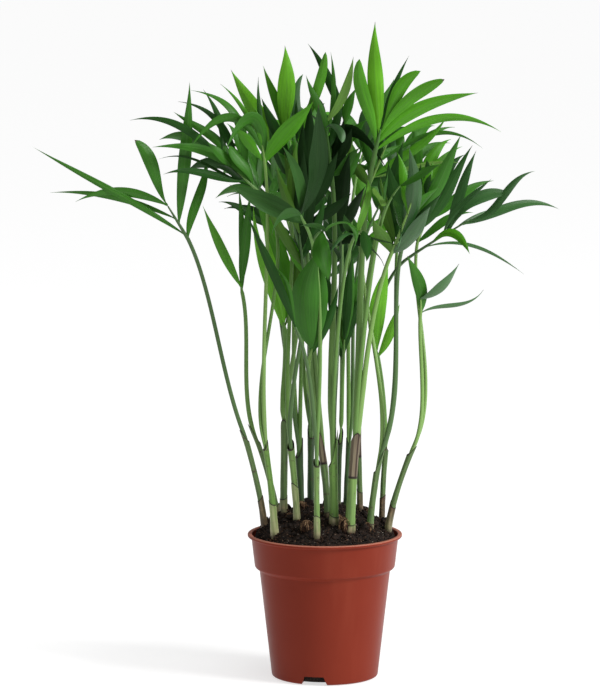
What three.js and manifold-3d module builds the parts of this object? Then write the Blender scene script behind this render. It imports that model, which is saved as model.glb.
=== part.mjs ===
// Parlour palm in its nursery pot: seventeen seedlings, each a sheathed stem with one to three
// fronds, standing in a mounded bed of soil. Millimetres, +Z up, origin at the centre of the
// pot's underside. A front notch of the pot and the widest spread of the crown face -Y.
import * as THREE from 'three';
import { mergeVertices } from 'three/addons/utils/BufferGeometryUtils.js';
import Module from 'manifold-3d';

const wasm = await Module();
wasm.setup();

// ---- driving dimensions --------------------------------------------------------------------

const GAP = 0.3; // clearance between neighbouring pieces
const CLEAR = 0.4; // least room a leaf or limb keeps to anything it doesn't grow from

// Pot: thin blown plastic with a deep collar under a rolled lip.
const POT = {
  height: 112,
  lipRadius: 60,
  lipThickness: 2.4,
  collarTop: 57.2,
  collarBottom: 54.4,
  collarDepth: 26,
  stepDrop: 2.4,
  bodyTop: 50.8,
  bodyBottom: 41.2,
  wall: 1.4,
  facets: 36,
};
const FLOOR = { rise: 6.6, thickness: 1.6, cornerRadius: 1.6 };
const NOTCH = { count: 3, firstTurn: -12, topWidth: 15, bottomWidth: 21, reach: 22 };
const DRAIN = { radius: 4, fromCentre: 24 };

// Soil: a mound over a plug that fills the pot, heaped higher towards the back by its lean.
const SOIL = { edge: 106.5, skirt: 2, crest: 128, lean: 0.15, lumps: 1.1, rings: 8, shape: 0.5 };
// The seat a stem's foot presses into the soil.
const SEAT = { depth: 12, splay: 3, sides: 8 };

// Stems: [foot x, foot y, top x, top y, top z, foot radius, top radius]. The foot's height is
// that of the soil under it.
const STEMS = {
  '01': [-46.8, -5, -62.6, -12, 191.6, 2.5, 1.9],
  '02': [-38.6, -28.4, -45.8, -38, 188, 3, 1.9],
  '03': [-37.3, 22, -54.4, 26, 184, 2.6, 1.6],
  '04': [-32.1, 12, -31, 12, 199, 2.8, 2.8],
  '05': [-21.6, -14, -26.6, -16, 184.4, 2.5, 2.4],
  '06': [-18.5, 28, -20.1, 36, 176, 2.6, 2.9],
  '07': [-10.9, 44, -10.6, 58, 184, 2.8, 2.4],
  '08': [-6.3, -44, -6.7, -50, 193, 2.3, 1.9],
  '09': [2.4, -8, -1.8, -6, 174, 2.7, 2.5],
  '10': [6.9, -24, 6, -26, 198, 3.4, 3.4],
  '11': [10.8, 18, 12.6, 20, 191, 1.8, 1.5],
  '12': [19, -32, 23.1, -34, 187, 4, 3.2],
  '13': [16.7, 42, 19.3, 54, 177, 2.2, 1.8],
  '14': [27.5, 14, 26, 18, 191, 2.2, 2],
  '15': [34.4, -22, 42.8, -26, 180, 2.7, 2.1],
  '16': [44.4, 12, 47.4, 16, 179.5, 2.2, 2],
  '17': [48.4, -11, 67.6, -16, 181, 2.7, 1.9],
};
const STEM = { sides: 6, rings: 4, flare: 0.12, sink: 1.2 };

// Fronds, by stem and letter. crown is where the leaf stalk ends and the leaves begin, end is
// the tip of the rib, face the way the upper side looks. leaves lists the measured leaflets as
// [place along rib 0-1, angle from the rib (- left, + right), length, lift out of the blade,
// width, and how far the leaflet bends upwards and aside as shares of its length]. bow pushes the
// stalk aside. Fronds without a list carry pairs of leaflets by rule, the longest as long as reach.
const FRONDS = {
  '01a': {
    crown: [-105, -22, 344], end: [-121, -26, 371], face: [-0.2, -0.8, 0.55], bow: [-4, 0],
    leaves: [[0.1, -28, 135, -3, 5, 0.01], [0.6, -48, 100, -22, 4.7, 0.06, 0.02],
      [1, -56, 70, -5, 7, 0.12, 0.04], [0, 45, 67, -10, 7.8, -0.01, 0.03],
      [0.45, 35, 110, 4, 9.3, 0, 0.01], [1, 5, 56, -2, 10.1, 0.04, 0.03]],
  },
  '02a': {
    crown: [-46, -36, 403], end: [-48, -38, 418], face: [0.1, -0.85, 0.5],
    leaves: [[0, 42, 63, 17, 12.4, 0.02], [0.2, -66, 37, 21, 9.3, 0.74, 0.23],
      [0.6, -78, 57, -1, 7, 0.41, 0.15], [0, -31, 34, 1, 7.8, 0, 0.01],
      [1, 7, 51, -11, 3.5, 0, -0.01], [1, -26, 56, -6, 3.5, 0.05, 0.03],
      [0.9, -3, 30, -4, 6.2, 0.06]],
  },
  '02b': {
    crown: [-49, -30, 379], end: [-94, -34, 419], face: [-0.1, -0.8, 0.6],
    leaves: [[0, -18, 91, -3, 8.5, 0.15, 0.04], [0.25, -37, 66, -3, 6.2, 0.05, 0.01],
      [0.15, -22, 75, -15, 2.3, 0.08, 0.02], [0.6, -16, 81, -7, 5.8, 0.13, 0.04],
      [0.5, 1, 63, -11, 7, 0.1, 0.03], [0.4, 13, 72, -9, 6.6, 0.17, 0.08],
      [0.3, 17, 78, 5, 8.1, 0.22, 0.1], [0.7, 39, 56, -6, 5.8, 0.07, 0.09],
      [0.3, -25, 27, 11, 4.7, 0.05], [0.15, 12, 37, 17, 10.1, 0.07, 0.01],
      [0.05, 35, 42, 0, 9.3, -0.01, -0.01], [0.5, -4, 31, 20, 7, 0.02]],
  },
  '03a': {
    crown: [-64, 14, 298], end: [-65, 14, 303], face: [-0.2, -0.8, 0.5],
    leaves: [[1, -12, 71, 10, 7.4, -0.01, -0.02], [1, 17, 73, 0, 7.8, 0],
      [0.2, 9, 82, -5, 5.4, 0, 0.02]],
  },
  '04a': {
    crown: [-31, 12, 268], end: [-32, 10, 276], face: [-0.2, -0.9, 0.4],
    leaves: [[0, -8, 103, -7, 7.4, -0.02, -0.03], [1, -2, 104, -13, 13.2, 0.01, 0.07],
      [0.6, -4, 86, -2, 6.2, 0.02], [0.5, 6, 106, -17, 7.4, -0.02, 0.07],
      [0.8, -2, 87, -22, 7.8, 0, 0.03], [1, 12, 74, -24, 7, -0.01, 0.01]],
  },
  '05a': {
    crown: [-27, 6, 379], end: [-32, 0, 429], face: [-0.1, -0.9, 0.4],
    leaves: [[0.5, -25, 83, 6, 12.8, -0.01], [1, 6, 63, -9, 13.2, 0, 0.03],
      [0.8, -12, 60, -15, 7, 0.02, 0.03], [0.4, -14, 58, 7, 8.5, 0.02, 0.01],
      [0.2, 13, 80, -13, 7.4, 0, 0.03], [0, 9, 47, 7, 7.8, -0.05, 0.07],
      [0.1, -13, 48, 10, 8.5, 0, 0.01], [0.1, -30, 23, 43, 7.8, -0.06, -0.02]],
  },
  '12a': {
    crown: [38, -30, 412], end: [42, -32, 429], face: [0.1, -0.8, 0.5],
    leaves: [[0, -23, 72, 3, 10.1, -0.01, -0.01], [0.8, -16, 85, -9, 11.6, 0, -0.02],
      [0, 70, 98, -12, 7, 0.16, -0.06], [0.3, 50, 86, -6, 9.7, 0.1, -0.04],
      [0.6, 34, 68, 4, 9.3, 0.08, -0.04], [0.85, 20, 56, -4, 9.3, 0.07, -0.04],
      [1, 8, 60, -16, 4.3, 0.03, -0.02], [0.95, 2, 45, -36, 7, 0.04, -0.05]],
  },
  '14a': {
    crown: [62, 10, 324], end: [113, 0, 357], face: [0.2, -0.75, 0.65], bow: [5, 0],
    leaves: [[0.6, -9, 62, 19, 5, 0.07, -0.05], [0.7, -1, 55, 2, 10.1, 0.18, -0.05],
      [1, -2, 65, 7, 7, -0.01, 0.01], [0.9, 18, 75, -16, 7.4, 0.1, -0.03],
      [0.3, 40, 80, -30, 2.7, 0.13, -0.04], [0.45, 52, 38, 11, 6.6, 0.23, -0.16],
      [0.65, -36, 68, 14, 9.3, 0.01, -0.01], [0.8, -10, 44, -36, 3.9, 0.06]],
  },
  '15a': {
    crown: [59, -30, 340], end: [78, -36, 382], face: [0.3, -0.85, 0.45], bow: [9, 0],
    leaves: [[0, -24, 80, -5, 13.2, -0.01, -0.09], [0.5, 3, 75, 2, 9.7, -0.03, 0.02],
      [0.2, 11, 85, -1, 8.9, -0.06, 0.03], [0.7, -5, 40, -30, 6.6, 0.01],
      [1, 24, 27, -17, 6.2, 0.06], [0.1, 7, 54, 24, 8.5, 0, 0.01],
      [0.1, -12, 60, -12, 9.3, -0.01, 0.02]],
  },
  '16a': {
    crown: [41, 8, 249], end: [40, 8, 254], face: [0, -0.9, 0.4],
    leaves: [[1, 18, 71, 8, 13.2, 0.02, -0.04], [0, 32, 46, 13, 7, -0.03, 0.02]],
  },
  '17a': {
    crown: [73, -18, 286], end: [73, -22, 298], face: [0.3, -0.8, 0.5],
    leaves: [[0, -15, 48, -11, 9.7, 0.09, 0.02], [0, 73, 52, 13, 3.9, -0.06, 0.02],
      [1, 42, 41, 17, 8.9, -0.09, 0.04]],
  },
  '08a': {
    crown: [-21, -66, 277], end: [-23, -67, 282], face: [-0.2, -0.8, 0.5],
    leaves: [[1, -1, 94, -5, 7, 0.01], [0.6, -5, 58, -7, 3.1, 0.12, 0.09]],
  },
  '08b': {
    crown: [-12, -46, 255], end: [-10, -48, 263], face: [0.1, -0.9, 0.4],
    leaves: [[1, -9, 79, -3, 20.9, 0.06, -0.1], [0.6, -2, 73, -12, 13.2, -0.01, 0.02],
      [0.3, 8, 58, -18, 6.2, -0.03, 0.04]],
  },
  '10a': {
    crown: [5, -10, 391], end: [0, -14, 434], face: [0, -0.9, 0.4],
    leaves: [[1, 29, 55, 3, 7, -0.06, 0.06], [0.8, 10, 62, -10, 3.9, 0, 0.06],
      [0.7, -12, 52, 1, 6.2, 0.02, 0.02], [0.5, 21, 51, -17, 6.2, -0.01, 0.02],
      [0.9, 131, 33, 69, 6.2, 0.16, -0.06], [0.3, 37, 33, 22, 7, -0.14, -0.03],
      [0, 48, 33, 20, 7.8, -0.04, -0.01]],
  },
  '15b': {
    crown: [34, 18, 381], end: [48, 12, 415], face: [0.2, -0.8, 0.5],
    leaves: [[0.2, 27, 75, -1, 7, -0.05, 0.02], [0.6, 61, 80, -5, 3.9, 0.18, -0.07],
      [0.2, 58, 71, 0, 3.5, 0.04, -0.02], [0.3, -48, 35, -14, 7, 0.06], [1, 22, 19, 16, 5.4, 0.06],
      [0.7, -36, 35, -12, 7, 0.06], [0, -52, 27, 12, 7.8, -0.02, -0.01],
      [0, 31, 24, -22, 7.8, -0.03, 0.04]],
  },
  '12b': {
    crown: [50, -44, 335], end: [66, -54, 378], face: [0.3, -0.8, 0.5],
    leaves: [[0.3, -14, 73, -1, 12, -0.06, 0.09], [0, 12, 55, 19, 11.6, -0.06, -0.01],
      [0.2, -32, 52, -23, 7.8, -0.02, -0.04], [0.9, -33, 42, -28, 7, 0.01],
      [0.6, 29, 38, -14, 7.8, 0.06], [0.5, -31, 50, -13, 9.3, 0],
      [0, -44, 41, 14, 9.3, -0.01, 0.02]],
  },
  '04b': {
    crown: [-15, -5, 372], end: [-21, -10, 420], face: [-0.1, -0.9, 0.3],
    leaves: [[1, 24, 72, 1, 7.4, -0.03, 0.02], [0.5, -4, 55, -13, 7, 0.01, 0.01],
      [0.2, -25, 42, 23, 7.8, 0.01, -0.03], [0.8, 19, 45, -25, 7, 0.06],
      [0, 34, 34, -16, 7, -0.07, 0.06], [0, -17, 37, 13, 8.5, -0.05, -0.02]],
  },
  '05b': {
    crown: [-16, -40, 318], end: [-20, -46, 352], face: [-0.1, -0.9, 0.3],
    leaves: [[0.2, -22, 67, -6, 7, -0.02, -0.02], [1, 4, 70, -15, 9.3, 0, -0.05],
      [0.6, 13, 77, -22, 9.3, 0, 0.03], [1, -12, 55, -3, 7, -0.01, -0.01],
      [0.4, 26, 51, -15, 7, -0.03, 0.04], [0.8, 8, 71, -10, 10.1, 0],
      [0, -20, 44, -21, 7.8, -0.01, -0.01]],
  },
  '09a': {
    crown: [-6, -66, 352], end: [0, -92, 357], face: [0, -0.5, 0.85],
    leaves: [[0.6, 17, 60, -40, 13.2, 0.02, 0.04], [1, -11, 45, -26, 7, 0.31, -0.12],
      [0.3, -109, 28, -63, 7.8, 0.09, 0.01], [1, 33, 53, 5, 7, 0.06]],
  },
  '09b': {
    crown: [-14, -34, 352], end: [-14, -42, 380], face: [0, -0.9, 0.3],
    leaves: [[1, -3, 56, -24, 10.1, 0, -0.01], [1, 13, 54, -5, 11.6, -0.02, 0.01],
      [0.5, 29, 53, -23, 10.1, -0.02, 0.03], [0.2, 56, 41, 2, 8.5, -0.07, 0.01],
      [0, -18, 62, -26, 9.3, 0.01], [0.6, -13, 65, -33, 7.8, 0.02, 0.01],
      [0.8, 2, 78, -2, 10.8, -0.01], [0.4, -56, 36, 8, 7.8, 0.09, 0.04]],
  },
  '10b': {
    crown: [22, -66, 350], end: [28, -100, 358], face: [0.2, -0.6, 0.75],
    leaves: [[0, 31, 50, -25, 5.8, 0.14], [0.4, 1, 42, 74, 7, -0.04, -0.03],
      [1, -63, 30, -20, 7, -0.03, 0.02], [0.6, -69, 32, -49, 7, 0.02, 0.02],
      [1, 4, 56, -32, 7.8, 0.03, -0.02], [0.2, 40, 25, 27, 7.8, -0.05, 0.04]],
  },
  '10c': {
    crown: [12, 12, 336], end: [10, 10, 374], face: [0.1, -0.9, 0.3],
    leaves: [[1, 54, 58, 54, 12.4, 0.7, -0.01], [0.6, 14, 64, -11, 7.8, 0, 0.01],
      [1, 28, 44, 3, 7, 0.01, -0.01], [0.2, 25, 49, 26, 9.3, 0.01, -0.02],
      [0.5, -8, 64, -4, 7.8, 0.06], [0, 97, 31, 43, 8.5, 0.15, -0.09], [0, -92, 24, 41, 8.5, 0.06],
      [0.8, 3, 77, 29, 11.6, 0.02, 0.03], [0.3, -7, 75, 25, 10.8, 0.01, 0.02],
      [0, -11, 45, 14, 9.3, -0.02, 0.01]],
  },
  '12c': {
    crown: [44, -64, 368], end: [56, -96, 392], face: [0.2, -0.75, 0.6],
    leaves: [[0, -31, 52, 19, 9.3, 0.03, 0.02], [0.3, 14, 20, 54, 9.3, -0.1, 0.01],
      [1, 0, 47, -21, 7.8, 0.02, -0.01], [0.6, 67, 69, -13, 11.6, 0.01, -0.05],
      [1, 55, 54, -11, 7, 0.06], [0, -45, 27, 34, 7.8, 0.03, 0.02]],
  },
  '08c': {
    crown: [-15, -72, 359], end: [-19, -86, 369], face: [-0.3, -0.7, 0.6],
    leaves: [[0.2, 27, 66, 42, 14, 0.01, -0.01], [1, -52, 84, 18, 18.6, -0.05, -0.04],
      [0.6, -15, 71, 14, 8.5, 0.02, -0.07], [1, 45, 52, -17, 7.8, 0.16, -0.02]],
  },
  '06a': { crown: [-26, 74, 338], end: [-40, 114, 372], pairs: 4, reach: 72 },
  '06b': { crown: [-24, 44, 390], end: [-28, 60, 416], pairs: 3, reach: 50 },
  '06c': { crown: [-44, 60, 345], end: [-56, 100, 386], pairs: 4, reach: 62 },
  '07a': { crown: [-18, 100, 345], end: [-28, 146, 382], pairs: 4, reach: 84 },
  '07b': { crown: [4, 110, 300], end: [8, 158, 322], pairs: 4, reach: 88 },
  '07c': { crown: [-10, 74, 388], end: [-12, 104, 412], pairs: 4, reach: 64 },
  '11a': {
    crown: [14, 40, 384], end: [16, 52, 432], face: [0, -0.8, 0.5],
    leaves: [[1, -31, 70, 31, 7, 0.03, -0.01], [0.9, 16, 31, 24, 7, 0.06],
      [0.5, 37, 29, 19, 7.8, 0.06], [0.4, -28, 39, 3, 7.8, 0.06], [0.1, 80, 23, 18, 7.8, 0.06],
      [0.1, -77, 21, 18, 7.8, 0.06]],
  },
  '11b': {
    crown: [14, 6, 244], end: [15, 2, 264], face: [0, -0.9, 0.3],
    leaves: [[0, -8, 79, -12, 7, 0], [0.2, 2, 83, -7, 7, 0, 0.01], [1, -4, 67, -3, 7, 0, -0.01],
      [1, 10, 61, -19, 6.2, 0], [0.6, -18, 48, -7, 5.4, 0.06], [0.4, 19, 58, -11, 6.2, 0],
      [0.5, -16, 65, -4, 6.2, 0]],
  },
  '13a': { crown: [32, 106, 330], end: [50, 150, 362], pairs: 4, reach: 86 },
  '13b': { crown: [26, 84, 385], end: [34, 118, 406], pairs: 4, reach: 66 },
  '14b': { crown: [46, 68, 360], end: [60, 108, 394], pairs: 4, reach: 68 },
  '16b': { crown: [58, 44, 345], end: [74, 76, 378], bow: [8, 0], pairs: 3, reach: 64 },
  '17b': { crown: [72, 30, 336], end: [88, 54, 368], bow: [3, 0], pairs: 3, reach: 60 },
};

// How the leaflets of a frond without a list stand, from the crown to the tip of its rib.
const RULE = { crownAngle: 44, tipAngle: 15, angleSway: 7, lift: -4, liftSway: 9, lengthSway: 0.08 };
const LEAF = { slim: 0.13, broad: 0.19, leastWidth: 7, mostWidth: 12, mostTip: 14, fold: 0.16 };
const LEAF_FORM = { arch: 0.09, archSway: 0.04, roll: 14, rollSway: 12, thickness: 0.0105, thinnest: 1 };
// How the rib rises in its middle, where the last leaflets sit on it, how far the upper side of a
// frond without a face turns to the sky, and how far the arch of a leaflet leans to that side.
const RIB = { rise: 0.06, lastSeat: 0.96, skyward: 0.6, archLean: 0.35 };
const LEAF_STATIONS = [0, 0.12, 0.42, 0.75, 1];
const LIMB = {
  foot: 1.6,
  crown: 1.2,
  tip: 0.7,
  sides: 4,
  stalkRings: 5,
  ribRings: 2,
  seat: 2.1,
  pull: 0.3,
};
// Turns tried one after another where a leaflet would touch a neighbour:
// [turn in the blade, turn out of it, share of its length].
const TURNS = [[0, 0, 1], [6, 0, 1], [-6, 0, 1], [0, 9, 1], [0, -9, 1], [12, 4, 1], [-12, 4, 1],
  [0, 18, 1], [0, -18, 1], [9, 13, 0.9], [-9, -13, 0.9], [0, 0, 0.75], [14, 20, 0.8], [-14, -20, 0.8],
  [20, -8, 0.7], [-20, 8, 0.7]];
// Sideways bows tried where a leaf stalk would touch a neighbour.
const BOWS = [[0, 0], [4, 0], [-4, 0], [0, 4], [0, -4], [6, 6], [-6, 6], [6, -6], [-6, -6], [11, 0],
  [-11, 0], [0, 11], [0, -11], [12, 12], [-12, 12], [12, -12], [-12, -12]];

const radians = THREE.MathUtils.degToRad;
const vector = (values) => new THREE.Vector3(...values);

// A repeatable stream of numbers between 0 and 1.
function sequence(seed) {
  let state = seed;
  return () => {
    state = (state * 16807) % 2147483647;
    return state / 2147483647;
  };
}

// ---- solids --------------------------------------------------------------------------------

// A closed geometry as a solid, with its seams merged and its collapsed facets left out.
function solidOf(geometry) {
  const bare = geometry.clone();
  bare.deleteAttribute('normal');
  bare.deleteAttribute('uv');
  const merged = mergeVertices(bare, 1e-4);
  const index = merged.index.array;
  const corners = [];
  for (let i = 0; i < index.length; i += 3) {
    const [a, b, c] = index.slice(i, i + 3);
    if (a !== b && b !== c && c !== a) corners.push(a, b, c);
  }
  return new wasm.Manifold(new wasm.Mesh({
    numProp: 3,
    vertProperties: new Float32Array(merged.attributes.position.array),
    triVerts: new Uint32Array(corners),
  }));
}

// The largest body of a solid as a geometry.
function geometryOf(solid) {
  const bodies = solid.decompose().sort((a, b) => b.volume() - a.volume());
  const { vertProperties, triVerts } = bodies[0].getMesh();
  const geometry = new THREE.BufferGeometry();
  geometry.setAttribute('position', new THREE.BufferAttribute(new Float32Array(vertProperties), 3));
  geometry.setIndex(new THREE.BufferAttribute(new Uint32Array(triVerts), 1));
  geometry.computeVertexNormals();
  return geometry;
}

// Moves every point of a geometry to place(x, y, z, u, v), u running round it and v along it.
function reshape(geometry, place) {
  const { position, uv } = geometry.attributes;
  for (let i = 0; i < position.count; i += 1) {
    const at = place(position.getX(i), position.getY(i), position.getZ(i), uv.getX(i), uv.getY(i));
    position.setXYZ(i, at.x, at.y, at.z);
  }
  return geometry;
}

// A tapered limb along a run of curves with flat ends. side steadies its facets and radiusAt
// gives its radius for a share of its rings.
function limbSolid(curves, rings, radiusAt, side, sides) {
  const total = rings.reduce((sum, count) => sum + count, 0);
  const geometry = new THREE.CylinderGeometry(1, 1, 1, sides, total);
  return solidOf(reshape(geometry, (x, y, z) => {
    const share = y + 0.5;
    let ring = Math.round(share * total);
    let run = 0;
    while (run < curves.length - 1 && ring > rings[run]) {
      ring -= rings[run];
      run += 1;
    }
    const along = curves[run].getTangent(ring / rings[run]);
    const across = side.clone().addScaledVector(along, -side.dot(along)).normalize();
    const up = across.clone().cross(along);
    const radius = radiusAt(share);
    return curves[run].getPoint(ring / rings[run])
      .addScaledVector(across, x * radius)
      .addScaledVector(up, z * radius);
  }));
}

// ---- pot -----------------------------------------------------------------------------------

const collarFoot = POT.height - POT.collarDepth;
const potOutside = [
  [POT.bodyBottom - FLOOR.cornerRadius, 0],
  [POT.bodyBottom, FLOOR.cornerRadius],
  [POT.bodyTop, collarFoot - POT.stepDrop],
  [POT.collarBottom, collarFoot],
  [POT.collarTop, POT.height - POT.lipThickness - 1],
  [POT.lipRadius - 0.8, POT.height - POT.lipThickness],
  [POT.lipRadius, POT.height - POT.lipThickness / 2],
  [POT.lipRadius - 0.8, POT.height - 0.2],
];

// The pot's inner face, drawn in by inset, from the lip down to the floor.
function potInside(inset) {
  const wall = POT.wall + inset;
  return [
    [POT.collarTop - wall + 0.6, POT.height],
    [POT.collarTop - wall, POT.height - 1.2],
    [POT.collarBottom - wall, collarFoot + 0.6],
    [POT.bodyTop - wall, collarFoot - POT.stepDrop - 0.6],
    [POT.bodyBottom - wall + 0.3, FLOOR.thickness + inset],
  ];
}

// A profile of [radius, height] turned about +Z, closed by discs at its two ends.
function lathed(profile, facets) {
  const points = [[0, profile[0][1]], ...profile, [0, profile[profile.length - 1][1]]];
  const lathe = new THREE.LatheGeometry(points.map(([r, z]) => new THREE.Vector2(r, z)), facets);
  return lathe.rotateX(Math.PI / 2);
}

// A drain channel's bar, from one radius to another, grown by skin on its roof and flanks.
function channelBar(turn, from, to, skin) {
  const foot = NOTCH.bottomWidth / 2 + skin;
  const roof = NOTCH.topWidth / 2 + skin;
  const outline = new THREE.Shape([
    new THREE.Vector2(-foot, skin > 0 ? 0 : -1),
    new THREE.Vector2(foot, skin > 0 ? 0 : -1),
    new THREE.Vector2(roof, FLOOR.rise + skin),
    new THREE.Vector2(-roof, FLOOR.rise + skin),
  ]);
  const bar = new THREE.ExtrudeGeometry(outline, { depth: to - from, bevelEnabled: false, steps: 1 });
  return solidOf(bar.translate(0, 0, from).rotateX(Math.PI / 2).rotateZ(radians(turn)));
}

const turnOf = (i) => NOTCH.firstTurn + (360 / NOTCH.count) * i;
const channelTurns = Array.from({ length: NOTCH.count }, (_, i) => turnOf(i));
const channelFrom = POT.bodyBottom - NOTCH.reach;

// The three channel roofs inside the pot, with room skin round each.
function channelRoofs(skin) {
  const bars = channelTurns.map((turn) => channelBar(turn, channelFrom - skin, POT.bodyTop, skin));
  return wasm.Manifold.union(bars);
}

function potSolid() {
  const shell = solidOf(lathed([...potOutside, ...potInside(0)], POT.facets));
  const envelope = solidOf(lathed([...potOutside, [POT.collarTop, POT.height]], POT.facets));
  const roofs = channelRoofs(FLOOR.thickness).intersect(envelope);
  const channels = channelTurns.map((turn) => channelBar(turn, channelFrom, POT.lipRadius, 0));
  const drains = channelTurns.map((turn) => {
    const hole = new THREE.CylinderGeometry(DRAIN.radius, DRAIN.radius, POT.height / 2, 12);
    hole.rotateX(Math.PI / 2).translate(0, -DRAIN.fromCentre, 0).rotateZ(radians(turn));
    return solidOf(hole);
  });
  return shell.add(roofs).subtract(wasm.Manifold.union([...channels, ...drains]));
}

// ---- soil ----------------------------------------------------------------------------------

// The soil's radius at a height within the pot's collar.
function soilReach(z) {
  const [, [upper, top], [lower, foot]] = potInside(GAP);
  return lower + (upper - lower) * (z - foot) / (top - foot);
}

const soilRadius = soilReach(SOIL.edge);

function soilTop(x, y) {
  const rim = Math.min(1, Math.hypot(x, y) / soilRadius);
  const mound = (1 - rim * rim) ** SOIL.shape;
  const broad = Math.sin(x * 0.31 + 1.3) * Math.cos(y * 0.27 - 0.6);
  const lumps = broad + 0.6 * Math.sin(x * 0.53 - y * 0.41);
  const heap = SOIL.crest + SOIL.lean * y - SOIL.edge;
  return SOIL.edge + heap * mound + SOIL.lumps * lumps * Math.min(1, 4 * (1 - rim));
}

function stemFoot([x, y]) {
  return new THREE.Vector3(x, y, soilTop(x, y) - STEM.sink);
}

// The seat pressed into the soil by a stem's foot.
function footSeat(row) {
  const foot = stemFoot(row);
  const radius = row[5] * (1 + STEM.flare) + GAP;
  const seat = new THREE.CylinderGeometry(radius + SEAT.splay, radius, SEAT.depth, SEAT.sides);
  return solidOf(seat.rotateX(Math.PI / 2).translate(foot.x, foot.y, foot.z - GAP + SEAT.depth / 2));
}

// A plug of revolution that fills the pot, its top drawn down to the mound.
function soilPlug() {
  const ringAt = (i) => [soilRadius * (1 - i / SOIL.rings), SOIL.crest];
  const mound = Array.from({ length: SOIL.rings }, (_, i) => ringAt(i));
  const skirt = SOIL.edge - SOIL.skirt;
  const wall = [...potInside(GAP).slice(2).reverse(), [soilReach(skirt), skirt]];
  const plug = lathed([...wall, ...mound], POT.facets);
  const heightAt = (x, y, z) => (z === SOIL.crest ? soilTop(x, y) : z);
  return solidOf(reshape(plug, (x, y, z) => new THREE.Vector3(x, y, heightAt(x, y, z))));
}

function soilSolid() {
  const cuts = [channelRoofs(FLOOR.thickness + GAP), ...Object.values(STEMS).map(footSeat)];
  return soilPlug().subtract(wasm.Manifold.union(cuts));
}

// ---- stems ---------------------------------------------------------------------------------

function stemCurve(row) {
  const foot = stemFoot(row);
  const top = new THREE.Vector3(row[2], row[3], row[4]);
  const bend = foot.clone().lerp(top, 0.4);
  bend.lerp(new THREE.Vector3(foot.x, foot.y, bend.z), 0.6);
  return new THREE.QuadraticBezierCurve3(foot, bend, top);
}

function stemSolid(row) {
  const [, , , , , footRadius, topRadius] = row;
  const radiusAt = (share) => footRadius + (topRadius - footRadius) * share
    + footRadius * STEM.flare * Math.max(0, 1 - share * STEM.rings);
  return limbSolid([stemCurve(row)], [STEM.rings], radiusAt, new THREE.Vector3(1, 0, 0), STEM.sides);
}

// ---- fronds --------------------------------------------------------------------------------

// The frame of a frond: along its rib, its upper side and its right-hand side.
function frondFrame(row) {
  const crown = vector(row.crown);
  const end = vector(row.end);
  const along = end.clone().sub(crown).normalize();
  // A frond without a stated face turns its upper side to the plant's axis and the sky.
  const face = row.face ? vector(row.face) : new THREE.Vector3(-along.x, -along.y, RIB.skyward);
  const upper = face.addScaledVector(along, -face.dot(along)).normalize();
  const right = along.clone().cross(upper);
  const ribLength = crown.distanceTo(end);
  const bend = crown.clone().lerp(end, 0.5).addScaledVector(upper, RIB.rise * ribLength);
  return { along, upper, right, rib: new THREE.QuadraticBezierCurve3(crown, bend, end) };
}

// Where a stem's leaf stalks leave its mouth: side by side, each towards its own crown.
function stalkSeats(name) {
  const top = stemCurve(STEMS[name]);
  const along = top.getTangent(1);
  const mouth = top.getPoint(1).addScaledVector(along, GAP);
  const keys = Object.keys(FRONDS).filter((key) => key.startsWith(name));
  const bearing = (key) => Math.atan2(FRONDS[key].crown[1] - mouth.y, FRONDS[key].crown[0] - mouth.x);
  keys.sort((a, b) => bearing(a) - bearing(b));
  const step = (2 * Math.PI) / keys.length;
  const offX = keys.reduce((sum, key, i) => sum + Math.cos(bearing(key) - i * step), 0);
  const offY = keys.reduce((sum, key, i) => sum + Math.sin(bearing(key) - i * step), 0);
  const first = Math.atan2(offY, offX);
  const reach = keys.length > 1 ? LIMB.seat : 0;
  return Object.fromEntries(keys.map((key, i) => {
    const turn = first + i * step;
    const out = new THREE.Vector3(Math.cos(turn), Math.sin(turn), 0);
    out.addScaledVector(along, -out.dot(along)).normalize();
    return [key, { from: mouth.clone().addScaledVector(out, reach), along }];
  }));
}

function stalkCurve(seat, rib, bow) {
  const crown = rib.getPoint(0);
  const pull = LIMB.pull * seat.from.distanceTo(crown);
  const rise = seat.from.clone().addScaledVector(seat.along, pull);
  const arrive = crown.clone().addScaledVector(rib.getTangent(0), -pull);
  for (const knot of [rise, arrive]) knot.add(new THREE.Vector3(...bow, 0));
  return new THREE.CubicBezierCurve3(seat.from, rise, arrive, crown);
}

function frondLimb(seat, frame, bow) {
  const rings = [LIMB.stalkRings, LIMB.ribRings];
  const crownShare = LIMB.stalkRings / (LIMB.stalkRings + LIMB.ribRings);
  const radiusAt = (share) => (share < crownShare
    ? LIMB.foot + (LIMB.crown - LIMB.foot) * (share / crownShare)
    : LIMB.crown + (LIMB.tip - LIMB.crown) * ((share - crownShare) / (1 - crownShare)));
  const curves = [stalkCurve(seat, frame.rib, bow), frame.rib];
  return limbSolid(curves, rings, radiusAt, frame.right, LIMB.sides);
}

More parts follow.
